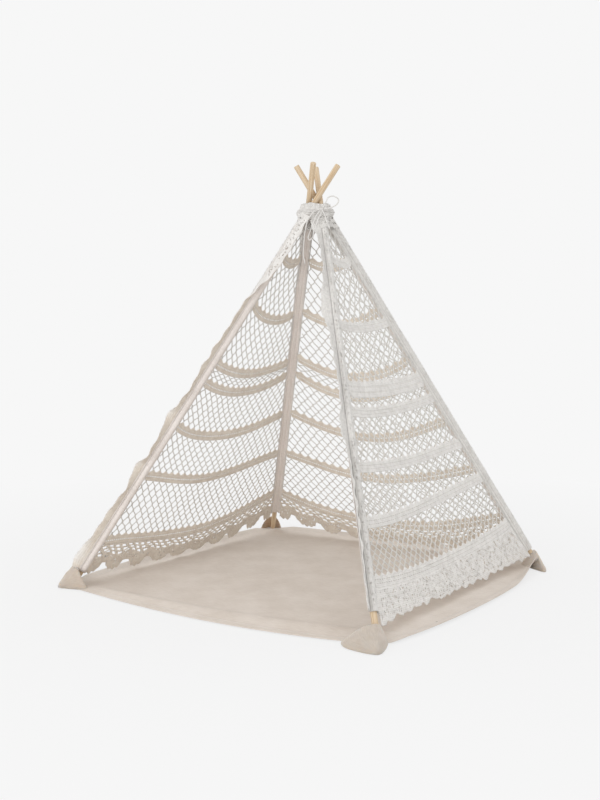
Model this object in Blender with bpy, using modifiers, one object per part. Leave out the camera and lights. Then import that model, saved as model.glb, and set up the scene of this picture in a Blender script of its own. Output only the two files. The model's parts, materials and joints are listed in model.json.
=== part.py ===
"""A kids' teepee: four wooden poles that cross at the top, an open crochet cover on three
sides, and a canvas floor mat whose corner pockets hold the feet of the poles.

Metres, +Z up. The floor is z = 0, the doorway faces -Y and the origin is the middle of the
square on which the poles stand. Each pole hangs on an empty at its pivot in the crossing, with
the empty's -Z along the pole, so that it swings about a line through that point.
"""
import math

import bmesh
import bpy
from mathutils import Matrix, Vector

# Frame of poles
foot_half = 0.600               # half the side of the square that the feet stand on
crossing_height = 1.341         # height of the crossing above the floor
pole_radius = 0.010
pole_above_crossing = 0.128     # length of pole that stands out above the crossing
pole_end_chamfer = 0.0015
lean_shift = 0.008              # the front-left and back-right pair cross this far off centre
lean_offset = 0.026             # and pass the middle this far to either side
side_offset = 0.018             # the other pair pass the middle this far to either side
ferrule_from_foot = 0.800       # middle of the joint between the two sections of a pole
ferrule_length = 0.060
ferrule_wall = 0.0007
fit_gap = 0.0003                # running gap between pieces that touch

# Sleeves and nets
sleeve_gap = 0.0004
sleeve_wall = 0.0018
sleeve_top_drop = 0.046         # along the pole, from the crossing to the sleeve's upper end
sleeve_foot_bare = 0.103        # bare pole between the sleeve's lower end and the foot
net_top_drop = 0.150            # along the pole, from the crossing to the net's upper edge
net_thickness = 0.003
net_belly = 0.014               # how far a net sags into the tent at its middle
net_tape = 0.016                # solid edge beside the sleeve
net_strand = 0.007              # solid left between two openings
net_seam_gap = 0.0006           # between the two halves of a net
net_band = 0.038                # width of a solid crochet band
band_sag = 0.036                # how far a band hangs down at the middle of a panel
hem_sag = 0.026
hem_bare = 0.100                # bare pole between the hem's ends and the foot
scallop_depth = 0.030
trim_width = 0.036              # ruffled trim along the two edges of the doorway
trim_thickness = 0.002
trim_wave = 0.009
trim_pitch = 0.140

# Gathered collar, cord and bow
collar_top_drop = 0.030         # height lost from the crossing to the collar's upper edge
collar_height = 0.050
collar_wall = 0.0025
cord_radius = 0.00225
cord_pitch = 0.0045
cord_top_drop = 0.044
knot_radius = 0.0080

# The bow: points of each cord after it leaves the knot, chosen by hand
bow_routes = {
    "bow_loop_right": [
        (0.0758, -0.0458, 1.3160), (0.0814, -0.0420, 1.3295), (0.0952, -0.0317, 1.3359),
        (0.1103, -0.0204, 1.3241), (0.1057, -0.0259, 1.3070), (0.0883, -0.0399, 1.2950),
    ],
    "bow_loop_left": [
        (0.0551, -0.0603, 1.2803), (0.0500, -0.0690, 1.2670), (0.0438, -0.0730, 1.2474),
        (0.0338, -0.0790, 1.2169), (0.0273, -0.0835, 1.1948), (0.0349, -0.0815, 1.1862),
        (0.0425, -0.0775, 1.1963), (0.0490, -0.0735, 1.2234), (0.0590, -0.0690, 1.2574),
        (0.0619, -0.0578, 1.2724),
    ],
    "bow_end_long": [
        (0.0454, -0.0651, 1.2876), (0.0370, -0.0755, 1.2740), (0.0260, -0.0850, 1.2520),
        (0.0165, -0.0870, 1.2104), (0.0122, -0.0875, 1.1695), (0.0108, -0.0880, 1.1354),
        (0.0165, -0.0862, 1.1064),
    ],
    "bow_end_short": [
        (0.0723, -0.0512, 1.2747), (0.0830, -0.0506, 1.2471), (0.0926, -0.0490, 1.2231),
    ],
}

# Floor mat
mat_thickness = 0.003
mat_overhang = 0.052            # how far the mat's corners lie past the feet, along X and along Y
mat_bulge = 0.036               # how far the middle of each side bows out
mat_wrinkle = 0.0016
mat_wrinkle_length = 0.420
rim_corner_gap = 0.132          # flat edge left at each corner, for the pocket
rim_width = 0.004
rim_low = 0.010                 # height of the raised edge at the middle of a side
rim_high = 0.034                # and near the corner pockets
rim_tilt = 0.012                # how far its top leans out
pocket_wall = 0.0025
pocket_mouth_half = 0.078
pocket_mouth_height = 0.066
pocket_mouth_back = 0.074       # the mouth's lower ends lie this far in from the foot
pocket_mouth_lean = 0.018       # and its peak this far
pocket_tip_out = 0.082
pocket_tip_half = 0.010
pocket_tip_height = 0.011

# Counts and shares
round_steps = 20
net_rows = 3
band_shares = (0.165, 0.290, 0.435, 0.481, 0.602, 0.730, 0.886)   # down the pole
openwork_columns = {0: 1, 1: 2, 2: 3, 4: 4, 5: 4, 6: 5}           # per half net, below band - 1
scallops_per_half = 4.5
points_per_scallop = 6
cord_turns = 3
points_per_turn = 24
mat_cells = 18
rim_stations = 16
pocket_sections = 7
pocket_arch_points = 9
pocket_bulge_share = 0.12
merge_share = 0.1               # of the fit gap, within which points are one
route_steps = 12
trim_steps = 6
collar_points = 32
knot_segments = 16
cord_point_spacing_share = 2.4
rim_rise_power = 3
knot_bearing = math.radians(-42.0)

diagonal = Vector((1.0, 1.0, 0.0)).normalized()       # from the front-left foot to the back-right
cross_diagonal = Vector((1.0, -1.0, 0.0)).normalized()  # from back-left to front-right
up = Vector((0.0, 0.0, 1.0))

# Each pole: the signs of its foot, and where it passes the middle along the two diagonals
pole_table = {
    "front_left": (-1, -1, lean_shift, lean_offset),
    "front_right": (1, -1, side_offset, 0.0),
    "back_right": (1, 1, lean_shift, -lean_offset),
    "back_left": (-1, 1, -side_offset, 0.0),
}
panel_table = {
    "left": ("front_left", "back_left"),
    "back": ("back_left", "back_right"),
    "right": ("front_right", "back_right"),
}

sleeve_inner = pole_radius + sleeve_gap
sleeve_outer = sleeve_inner + sleeve_wall
net_edge = sleeve_outer + fit_gap
mat_corner_half = foot_half + mat_overhang            # half the side of the mat, at its corners
rim_half_length = mat_corner_half - rim_corner_gap


def clear_scene():
    for item in list(bpy.data.objects):
        bpy.data.objects.remove(item, do_unlink=True)


def new_collection(name):
    collection = bpy.data.collections.new(name)
    bpy.context.scene.collection.children.link(collection)
    return collection


def material(name, colour, roughness, metallic=0.0):
    """One plain finish; colour is linear red, green and blue."""
    made = bpy.data.materials.new(name)
    made.use_nodes = True
    shader = made.node_tree.nodes["Principled BSDF"]
    shader.inputs["Base Color"].default_value = (*colour, 1.0)
    shader.inputs["Roughness"].default_value = roughness
    shader.inputs["Metallic"].default_value = metallic
    made.diffuse_color = (*colour, 1.0)
    return made


def finish(item, collection, look, parent=None, in_place=False, smooth=False):
    """Puts an object in its collection with its look, and hangs it on its parent's axes.

    An object that was modelled in place keeps its place under its parent.
    """
    for held in list(item.users_collection):
        held.objects.unlink(item)
    collection.objects.link(item)
    item.data.materials.clear()
    item.data.materials.append(look)
    if parent is not None:
        item.parent = parent
    if in_place:
        item.matrix_parent_inverse = parent.matrix_world.inverted()
    if smooth and item.type == "MESH":
        item.data.shade_smooth()
    return item


def mesh_object(name, points, faces):
    mesh = bpy.data.meshes.new(name)
    mesh.from_pydata([tuple(p) for p in points], [], faces)
    mesh.update()
    return bpy.data.objects.new(name, mesh)


def store_closed(body, mesh):
    """Writes a closed shape to its mesh with every face pointing out."""
    bmesh.ops.remove_doubles(body, verts=body.verts, dist=fit_gap * merge_share)
    bmesh.ops.recalc_face_normals(body, faces=body.faces)
    if body.calc_volume(signed=True) < 0.0:
        bmesh.ops.reverse_faces(body, faces=body.faces)
    body.to_mesh(mesh)
    body.free()


def face_outwards(item):
    """Also splits the faces into triangles, so that a twisted one has only one shape."""
    body = bmesh.new()
    body.from_mesh(item.data)
    bmesh.ops.triangulate(body, faces=body.faces)
    store_closed(body, item.data)


def turned(name, profile, closed=False):
    """A piece turned about Z from (radius, height) points that run down its outer side."""
    mesh = bpy.data.meshes.new(name)
    edges = [(i, i + 1) for i in range(len(profile) - 1)]
    if closed:
        edges.append((len(profile) - 1, 0))
    mesh.from_pydata([(r, 0.0, z) for r, z in profile], edges, [])
    item = bpy.data.objects.new(name, mesh)
    screw = item.modifiers.new("Turn", "SCREW")
    screw.axis = "Z"
    screw.angle = 2.0 * math.pi
    screw.steps = round_steps
    screw.render_steps = round_steps
    screw.use_merge_vertices = True
    screw.merge_threshold = fit_gap * merge_share
    screw.use_normal_calculate = False
    return item


def loft(name, rings, closed_rings=True, capped=True):
    """Skins a list of point rings of equal length, with flat ends if capped."""
    count = len(rings[0])
    points = [p for ring in rings for p in ring]
    faces = []
    last = count if closed_rings else count - 1
    for i in range(len(rings) - 1):
        for j in range(last):
            k = (j + 1) % count
            faces.append((i * count + j, i * count + k, (i + 1) * count + k, (i + 1) * count + j))
    if capped:
        faces.append(tuple(range(count)))
        faces.append(tuple(range((len(rings) - 1) * count, len(rings) * count)))
    item = mesh_object(name, points, faces)
    face_outwards(item)
    return item


def tube(name, points, radius, sides_resolution):
    """A round cord along points, with filled ends."""
    curve = bpy.data.curves.new(name, "CURVE")
    curve.dimensions = "3D"
    curve.bevel_depth = radius
    curve.bevel_resolution = sides_resolution
    curve.use_fill_caps = True
    spline = curve.splines.new("POLY")
    spline.points.add(len(points) - 1)
    for held, point in zip(spline.points, points):
        held.co = (*point, 1.0)
    return bpy.data.objects.new(name, curve)


def smooth_route(points, spacing):
    """Evenly spaced points on a smooth curve through the route's own points."""
    ends = [points[0] * 2 - points[1]] + list(points) + [points[-1] * 2 - points[-2]]
    fine = []
    for i in range(1, len(ends) - 2):
        a, b, c, d = ends[i - 1 : i + 3]
        for k in range(route_steps):
            t = k / route_steps
            fine.append(
                0.5 * (2 * b + (c - a) * t + (2 * a - 5 * b + 4 * c - d) * t**2
                       + (3 * b - a - 3 * c + d) * t**3)
            )
    fine.append(points[-1])
    lengths = [0.0]
    for p, q in zip(fine, fine[1:]):
        lengths.append(lengths[-1] + (q - p).length)
    count = max(2, round(lengths[-1] / spacing))
    result, at = [], 0
    for k in range(count + 1):
        want = lengths[-1] * k / count
        while at < len(fine) - 2 and lengths[at + 1] < want:
            at += 1
        share = (want - lengths[at]) / (lengths[at + 1] - lengths[at])
        result.append(fine[at].lerp(fine[at + 1], share))
    return result


def least_gap(points, radius, apart):
    """Smallest gap between a wound cord's own turns, measured on its points."""
    least = math.inf
    for i, p in enumerate(points):
        for j in range(i + apart, len(points)):
            least = min(least, (p - points[j]).length - 2 * radius)
    return least


class Pole:
    """One pole's line, from its pivot in the crossing to the middle of its foot."""

    def __init__(self, name):
        sign_x, sign_y, along, aside = pole_table[name]
        self.name = name
        self.cross = diagonal * along + cross_diagonal * aside + up * crossing_height
        foot = Vector((sign_x * foot_half, sign_y * foot_half, mat_thickness + fit_gap))
        lean = (self.cross - foot).normalized()
        end_radius = pole_radius - pole_end_chamfer
        self.foot = foot + up * (end_radius * math.sqrt(1.0 - lean.z**2))
        self.way = (self.cross - self.foot).normalized()
        self.length = (self.cross - self.foot).length
        self.hinge = self.way.cross(up).normalized()
        self.outward = Vector((sign_x, sign_y, 0.0)).normalized()

    def at(self, share):
        """The point this share of the way down from the pivot to the foot."""
        return self.cross.lerp(self.foot, share)

    def at_drop(self, drop):
        """The point this much height below the pivot."""
        return self.cross - self.way * (drop / self.way.z)

    def pivot(self, collection):
        """An empty at the pivot, X along the hinge line and Z up the pole."""
        empty = bpy.data.objects.new(f"pivot_{self.name}", None)
        side = self.way.cross(self.hinge)
        turn = Matrix((self.hinge, side, self.way)).transposed().to_4x4()
        empty.matrix_world = Matrix.Translation(self.cross) @ turn
        collection.objects.link(empty)
        return empty


def pole_pieces(pole, pivot, collection, looks):
    """The two wooden sections, turned down where they enter the ferrule, and the ferrule."""
    joint = ferrule_from_foot - pole.length
    half = ferrule_length / 2
    spigot = pole_radius - ferrule_wall - fit_gap
    shoulder = half + fit_gap
    end_radius = pole_radius - pole_end_chamfer
    top = pole_above_crossing
    upper = [
        (0.0, top),
        (end_radius, top),
        (pole_radius, top - pole_end_chamfer),
        (pole_radius, joint + shoulder),
        (spigot, joint + shoulder),
        (spigot, joint + fit_gap / 2),
        (0.0, joint + fit_gap / 2),
    ]
    lower = [
        (0.0, joint - fit_gap / 2),
        (spigot, joint - fit_gap / 2),
        (spigot, joint - shoulder),
        (pole_radius, joint - shoulder),
        (pole_radius, pole_end_chamfer - pole.length),
        (end_radius, -pole.length),
        (0.0, -pole.length),
    ]
    bore = pole_radius - ferrule_wall
    ferrule = [
        (pole_radius, joint + half),
        (pole_radius, joint - half),
        (bore, joint - half),
        (bore, joint + half),
    ]
    finish(turned(f"pole_upper_{pole.name}", upper), collection, looks["pine"], pivot)
    finish(turned(f"pole_lower_{pole.name}", lower), collection, looks["pine"], pivot)
    finish(turned(f"ferrule_{pole.name}", ferrule, closed=True), collection, looks["steel"], pivot)


def sleeve(pole, pivot, collection, looks):
    """The sewn channel round the pole."""
    top = -sleeve_top_drop
    foot = sleeve_foot_bare - pole.length
    wall = [(sleeve_outer, top), (sleeve_outer, foot), (sleeve_inner, foot), (sleeve_inner, top)]
    finish(turned(f"sleeve_{pole.name}", wall, closed=True), collection, looks["canvas"], pivot)


def across(pole, neighbour, share):
    """The way to the neighbouring pole at this share down, and its reach square to this pole."""
    way = neighbour.at(share) - pole.at(share)
    square = (way - pole.way * way.dot(pole.way)).length
    return way, square


def net_point(pole, neighbour, side_share, down_share, offset):
    """A point of a half net: 0 at the sleeve to 1 at the panel's middle, and down the pole."""
    way, square = across(pole, neighbour, down_share)
    first = net_edge / square
    middle = 1.0 / 2.0 - (net_seam_gap / 2) / way.length
    share = first + (middle - first) * side_share
    normal = way.cross(pole.way).normalized()
    if normal.dot(pole.outward) < 0.0:
        normal.negate()
    inward = net_belly * math.sin(math.pi * share) * down_share
    return pole.at(down_share) + way * share + normal * (offset - inward)


def sag_share(side_share, sag, length):
    return sag / length * math.sin(math.pi / 2 * side_share)


def half_net_outlines(pole, neighbour):
    """The cut edge and the openings of a half net, as (side share, down share) points."""
    length = pole.length
    top = net_top_drop / length
    bottom = 1.0 - hem_bare / length
    edge = [(1.0, top), (0.0, top), (0.0, bottom)]
    count = round(scallops_per_half * points_per_scallop)
    for k in range(1, count + 1):
        side = k / count
        bulge = abs(math.sin(math.pi * scallops_per_half * side))
        drop = bottom + sag_share(side, hem_sag, length) + bulge * scallop_depth / length
        edge.append((side, drop))
    outlines = [edge]
    half_band = net_band / 2 / length
    lines = (top - half_band / 2, *band_shares)
    for zone, columns in openwork_columns.items():
        for row in range(net_rows):
            shift = row % 2
            for column in range(columns - shift):
                centre = (column + (1.0 + shift) / 2) / columns
                half_side = 1.0 / 2 / columns
                middle_line = (row + 1.0) / (net_rows + 1)
                half_line = 1.0 / (net_rows + 1)
                outlines.append(
                    diamond(pole, neighbour, lines[zone] + half_band, lines[zone + 1] - half_band,
                            centre, half_side, middle_line, half_line)
                )
    return outlines


def diamond(pole, neighbour, above, below, centre, half_side, middle_line, half_line):
    """One opening between two bands, drawn in by half a strand on every side."""
    length = pole.length
    tall = (below - above) * length * half_line
    down = above + (below - above) * middle_line
    wide = across(pole, neighbour, down)[0].length / 2
    tape = net_tape / wide
    reach = half_side * (1.0 - tape) * wide
    slope = math.hypot(tall, reach)
    keep = 1.0 - net_strand / 2 * slope / (tall * reach)
    points = []
    for step_side, step_down in ((1, 0), (0, 1), (-1, 0), (0, -1)):
        side = tape + (1.0 - tape) * (centre + step_side * half_side * keep)
        line = down + step_down * half_line * keep * (below - above)
        points.append((side, line + sag_share(side, band_sag, length)))
    return points


def half_net(name, pole, neighbour, pivot, collection, looks):
    """A flat pattern with its openings, given its thickness and then laid between the poles."""
    curve = bpy.data.curves.new(name, "CURVE")
    curve.dimensions = "2D"
    curve.fill_mode = "BOTH"
    curve.extrude = net_thickness / 2
    wide = foot_half
    for outline in half_net_outlines(pole, neighbour):
        spline = curve.splines.new("POLY")
        spline.points.add(len(outline) - 1)
        spline.use_cyclic_u = True
        for held, (side, down) in zip(spline.points, outline):
            held.co = (side * wide, -down * pole.length, 0.0, 1.0)
    pattern = bpy.data.objects.new(f"pattern_{name}", curve)
    collection.objects.link(pattern)
    graph = bpy.context.evaluated_depsgraph_get()
    mesh = bpy.data.meshes.new_from_object(pattern.evaluated_get(graph))
    bpy.data.objects.remove(pattern, do_unlink=True)
    mesh.name = name
    body = bmesh.new()
    body.from_mesh(mesh)
    bmesh.ops.remove_doubles(body, verts=body.verts, dist=fit_gap * merge_share)
    bmesh.ops.triangulate(body, faces=body.faces)
    for vert in body.verts:
        side, down, offset = vert.co.x / wide, -vert.co.y / pole.length, vert.co.z
        vert.co = net_point(pole, neighbour, side, down, offset)
    store_closed(body, mesh)
    item = bpy.data.objects.new(name, mesh)
    finish(item, collection, looks["lace"], pivot, in_place=True)


def door_trim(pole, neighbour, pivot, collection, looks):
    """The ruffled lace strip that carries a side panel on past its front pole."""
    name = f"door_trim_{pole.name}"
    first = net_top_drop / pole.length
    last = 1.0 - hem_bare / pole.length
    stations = round((last - first) * pole.length / trim_pitch * trim_steps)
    rings = []
    for k in range(stations + 1):
        share = first + (last - first) * k / stations
        way, _ = across(pole, neighbour, share)
        side = (pole.way * way.dot(pole.way) - way).normalized()
        normal = side.cross(pole.way).normalized()
        wave = trim_wave * math.sin(2.0 * math.pi * k / trim_steps)
        ring = []
        for reach, thick in ((0, -1), (1, -1), (1, 1), (0, 1)):
            out = net_edge + reach * trim_width
            ring.append(
                pole.at(share) + side * out + normal * (wave * reach + thick * trim_thickness / 2)
            )
        rings.append(ring)
    finish(loft(name, rings), collection, looks["lace"], pivot, in_place=True)


class Collar:
    """The cone that the gathered upper edge of the cover makes round all four poles."""

    def __init__(self, poles):
        self.poles = poles
        self.low_drop = collar_top_drop + collar_height
        room = (sleeve_outer + fit_gap) / poles[0].way.z
        self.top_radius = self.spread(collar_top_drop) + room
        self.low_radius = self.spread(self.low_drop) + room
        widening = (self.low_radius - self.top_radius) / collar_height
        self.slope = math.hypot(1.0, widening)
        self.wall = collar_wall * self.slope

    def centre(self, drop):
        points = [pole.at_drop(drop) for pole in self.poles]
        return sum(points, Vector()) / len(points)

    def spread(self, drop):
        return max((pole.at_drop(drop) - self.centre(drop)).length for pole in self.poles)

    def around(self, drop, bearing, off_inner):
        """A point on one bearing, this far outside the cone's inner face, level with the drop."""
        share = (drop - collar_top_drop) / collar_height
        radius = self.top_radius + (self.low_radius - self.top_radius) * share + off_inner
        return self.centre(drop) + Vector((math.cos(bearing), math.sin(bearing), 0.0)) * radius

    def ring(self, drop, off_inner):
        turn = 2.0 * math.pi / collar_points
        return [self.around(drop, turn * k, off_inner) for k in range(collar_points)]


def lace_collar(cone, collection, looks):
    rings = [
        cone.ring(collar_top_drop, 0.0),
        cone.ring(collar_top_drop, cone.wall),
        cone.ring(cone.low_drop, cone.wall),
        cone.ring(cone.low_drop, 0.0),
        cone.ring(collar_top_drop, 0.0),
    ]
    finish(loft("lace_collar", rings, capped=False), collection, looks["lace"])


def drawcord(cone, collection, looks):
    """The cord's turns round the collar, one unbroken tube, and the knot over its ends."""
    off_wall = cone.wall + (cord_radius + fit_gap) * cone.slope
    chord_share = math.cos(math.pi / points_per_turn)
    points = []
    for k in range(cord_turns * points_per_turn + 1):
        bearing = knot_bearing + 2.0 * math.pi * k / points_per_turn
        drop = cord_top_drop + cord_pitch * k / points_per_turn
        point = cone.around(drop, bearing, off_wall)
        centre = cone.centre(drop)
        points.append(centre + (point - centre) / chord_share)
    least = least_gap(points, cord_radius, points_per_turn // 2)
    print(f"drawcord: least gap between turns {least * 1000:.2f} mm")
    finish(tube("drawcord_turns", points, cord_radius, 1), collection, looks["cotton"])
    middle = cord_top_drop + cord_pitch * cord_turns / 2
    off_cord = off_wall + (cord_radius + knot_radius) * cone.slope
    centre = cone.around(middle, knot_bearing, off_cord)
    body = bmesh.new()
    bmesh.ops.create_uvsphere(
        body, u_segments=knot_segments, v_segments=knot_segments // 2 + 1, radius=knot_radius
    )
    mesh = bpy.data.meshes.new("bow_knot")
    body.to_mesh(mesh)
    body.free()
    item = bpy.data.objects.new("bow_knot", mesh)
    item.location = centre
    finish(item, collection, looks["cotton"], smooth=True)
    print("knot at", tuple(round(c, 4) for c in centre))
    return centre


def bow(knot, collection, looks):
    """The bow's loops and ends, each a limp cord that leaves the knot."""
    for name, route in bow_routes.items():
        points = [Vector(p) for p in route]
        way = (points[0] - knot).normalized()
        points.insert(0, knot + way * (knot_radius + fit_gap))
        if name.startswith("bow_loop"):
            back = (points[-1] - knot).normalized()
            points.append(knot + back * (knot_radius + fit_gap))
        line = smooth_route(points, cord_radius * 2 * cord_point_spacing_share)
        finish(tube(name, line, cord_radius, 2), collection, looks["cotton"])


def mat_edge(along, side_half):
    """How far out a side of the mat lies, at a place along it from -1 to 1."""
    return side_half + mat_bulge * (1.0 - along**2)


def mat_panel(collection, looks):
    """The canvas floor: flat beneath, with low creases on top."""
    body = bmesh.new()
    bmesh.ops.create_grid(body, x_segments=mat_cells, y_segments=mat_cells, size=1.0)
    low = {}
    for vert in body.verts:
        x, y = vert.co.x, vert.co.y
        low[vert] = (x * mat_edge(y, mat_corner_half), y * mat_edge(x, mat_corner_half))
    for vert, (x, y) in low.items():
        inside = (1.0 - (x / mat_corner_half) ** 2) * (1.0 - (y / mat_corner_half) ** 2)
        crease = math.sin((x + y / 3) / mat_wrinkle_length * 2.0 * math.pi)
        crease *= math.sin((y - x / 2) / mat_wrinkle_length * 2.0 * math.pi)
        vert.co = (x, y, mat_thickness + mat_wrinkle * max(0.0, inside) * max(0.0, crease))
    made = bmesh.ops.extrude_face_region(body, geom=body.faces[:])
    for item in made["geom"]:
        if isinstance(item, bmesh.types.BMVert):
            item.co.z = 0.0
    mesh = bpy.data.meshes.new("mat_panel")
    store_closed(body, mesh)
    finish(bpy.data.objects.new("mat_panel", mesh), collection, looks["canvas"])


def mat_rim(name, turn, collection, looks):
    """The raised, hemmed edge of one side; the sides differ by quarter turns."""
    rings = []
    rotation = Matrix.Rotation(turn, 4, "Z")
    for k in range(rim_stations + 1):
        along = 2.0 * k / rim_stations - 1.0
        x = along * rim_half_length
        inner = mat_edge(x / mat_corner_half, mat_corner_half) + fit_gap
        height = rim_low + (rim_high - rim_low) * abs(along) ** rim_rise_power
        lean = rim_tilt * height / rim_high
        ring = [
            Vector((x, -inner, 0.0)),
            Vector((x, -inner - rim_width, 0.0)),
            Vector((x, -inner - rim_width - lean, height)),
            Vector((x, -inner - lean, height)),
        ]
        rings.append([rotation @ p for p in ring])
    finish(loft(name, rings), collection, looks["canvas"])


def corner_pocket(pole, collection, looks):
    """A hood of canvas over the foot: its mouth faces in, its tip lies past the corner."""
    out = pole.outward
    side = Vector((-out.y, out.x, 0.0))
    base = up * (mat_thickness + fit_gap)
    foot = Vector((pole.foot.x, pole.foot.y, 0.0))
    rings = []
    for inset in (0.0, pocket_wall):
        skin = []
        for i in range(pocket_sections):
            share = i / (pocket_sections - 1)
            bulge = 1.0 + pocket_bulge_share * math.sin(math.pi * share)
            half = (pocket_mouth_half + (pocket_tip_half - pocket_mouth_half) * share) * bulge
            tall = (pocket_mouth_height + (pocket_tip_height - pocket_mouth_height) * share) * bulge
            low = (pocket_tip_out + pocket_mouth_back) * share - pocket_mouth_back
            peak = (pocket_tip_out + pocket_mouth_lean) * share - pocket_mouth_lean
            section = []
            for j in range(pocket_arch_points):
                angle = math.pi * j / (pocket_arch_points - 1)
                rise = math.sin(angle)
                reach = low + (peak - low) * rise - (inset if share == 1.0 else 0.0)
                section.append(
                    foot + base + out * reach - side * (half - inset) * math.cos(angle)
                    + up * (tall - inset) * rise
                )
            skin.append(section)
        rings.append(skin)
    outer, inner = rings
    count = pocket_arch_points
    points, faces = [], []
    for skin in (outer, inner):
        for section in skin:
            points.extend(section)
    shift = pocket_sections * count
    for i in range(pocket_sections - 1):
        for j in range(count - 1):
            a = i * count + j
            faces.append((a, a + 1, a + count + 1, a + count))
            faces.append((shift + a, shift + a + count, shift + a + count + 1, shift + a + 1))
        for j in (0, count - 1):
            a = i * count + j
            faces.append((a, a + count, shift + a + count, shift + a))
    for a in range(count - 1):
        b = (pocket_sections - 1) * count + a
        faces.append((a, shift + a, shift + a + 1, a + 1))
        faces.append((b, b + 1, shift + b + 1, shift + b))
    item = mesh_object(f"corner_pocket_{pole.name}", points, faces)
    face_outwards(item)
    finish(item, collection, looks["canvas"])


def main():
    clear_scene()
    teepee = new_collection("kids_teepee")
    looks = {
        "pine": material("Pine", (0.70, 0.51, 0.30), 0.55),
        "steel": material("Zinc plated steel", (0.62, 0.63, 0.64), 0.35, 1.0),
        "canvas": material("Cotton canvas", (0.62, 0.55, 0.48), 0.90),
        "lace": material("Cotton crochet", (0.73, 0.68, 0.60), 0.92),
        "cotton": material("Cotton cord", (0.82, 0.78, 0.72), 0.85),
    }
    poles = {name: Pole(name) for name in pole_table}
    pivots = {name: pole.pivot(teepee) for name, pole in poles.items()}
    for name, pole in poles.items():
        pole_pieces(pole, pivots[name], teepee, looks)
        sleeve(pole, pivots[name], teepee, looks)
        corner_pocket(pole, teepee, looks)
    for panel, ends in panel_table.items():
        for end in (0, 1):
            near, far = ends[end], ends[1 - end]
            name = f"net_{panel}_by_{near}"
            half_net(name, poles[near], poles[far], pivots[near], teepee, looks)
    for near, far in (panel_table["left"], panel_table["right"]):
        door_trim(poles[near], poles[far], pivots[near], teepee, looks)
    cone = Collar(list(poles.values()))
    lace_collar(cone, teepee, looks)
    knot = drawcord(cone, teepee, looks)
    bow(knot, teepee, looks)
    mat_panel(teepee, looks)
    for side, quarter in (("front", 0), ("right", 1), ("back", 2), ("left", 3)):
        mat_rim(f"mat_rim_{side}", quarter * math.pi / 2, teepee, looks)


if __name__ == "__main__":
    main()
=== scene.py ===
import json
import math

import bmesh
import bpy
import numpy as np
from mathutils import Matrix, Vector, noise


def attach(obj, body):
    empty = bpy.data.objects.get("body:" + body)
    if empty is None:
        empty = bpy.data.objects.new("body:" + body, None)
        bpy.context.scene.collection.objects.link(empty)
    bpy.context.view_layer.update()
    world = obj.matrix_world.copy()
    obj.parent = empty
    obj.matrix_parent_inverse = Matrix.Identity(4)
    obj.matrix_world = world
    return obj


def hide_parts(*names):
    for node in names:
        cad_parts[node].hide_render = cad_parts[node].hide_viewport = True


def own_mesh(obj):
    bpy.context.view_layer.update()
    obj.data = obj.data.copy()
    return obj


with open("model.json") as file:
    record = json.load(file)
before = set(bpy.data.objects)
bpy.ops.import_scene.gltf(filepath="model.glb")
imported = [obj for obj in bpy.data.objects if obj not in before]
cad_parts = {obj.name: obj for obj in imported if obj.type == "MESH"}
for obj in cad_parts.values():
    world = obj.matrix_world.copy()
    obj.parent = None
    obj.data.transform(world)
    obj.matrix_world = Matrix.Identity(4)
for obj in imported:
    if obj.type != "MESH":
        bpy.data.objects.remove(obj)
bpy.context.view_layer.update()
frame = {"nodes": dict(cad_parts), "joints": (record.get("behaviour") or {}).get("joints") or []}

up = Vector((0.0, 0.0, 1.0))

# The frame that everything hangs on: the same values as in the part's own source
frameSizes = {
    "footHalf": 0.600,           # half the side of the square that the feet stand on
    "footHeight": 0.0079,        # middle of a pole's foot above the floor
    "netEdge": 0.0125,           # a net starts this far from its pole's middle line
    "netBelly": 0.014,           # and bellies this far into the tent
    "hemBare": 0.100,            # bare pole between the nets and the foot
    "panelLevel": 0.6,           # share down the poles where the way across a panel is taken
}
footSigns = {
    "front_left": (-1, -1),
    "front_right": (1, -1),
    "back_right": (1, 1),
    "back_left": (-1, 1),
}


class PoleLine:
    # The line of one pole, from its pivot in the crossing to its foot
    def __init__(self, name):
        joint = next(j for j in frame["joints"] if j["child"] == "pole_" + name)
        signX, signY = footSigns[name]
        half = frameSizes["footHalf"]
        self.name = name
        self.body = "pole_" + name
        self.joint = joint["name"]
        self.pivot = Vector(joint["pos_m"])
        self.foot = Vector((signX * half, signY * half, frameSizes["footHeight"]))
        self.length = (self.pivot - self.foot).length
        self.way = (self.pivot - self.foot).normalized()
        self.outward = Vector((signX, signY, 0.0)).normalized()
        self.out = (self.outward - self.way * self.outward.dot(self.way)).normalized()
        self.side = self.way.cross(self.out)

    def at(self, share):
        return self.pivot.lerp(self.foot, share)

    def around(self, down, angle, radius):
        # A point this far down from the pivot; angle 0 looks out of the tent
        turn = self.out * math.cos(angle) + self.side * math.sin(angle)
        return self.pivot - self.way * down + turn * radius


poles = {name: PoleLine(name) for name in footSigns}
panelEnds = {
    "left": ("front_left", "back_left"),
    "back": ("back_left", "back_right"),
    "right": ("front_right", "back_right"),
}


# Meshes

def newObject(name, data):
    item = bpy.data.objects.new(name, data)
    bpy.context.scene.collection.objects.link(item)
    return item


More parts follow.
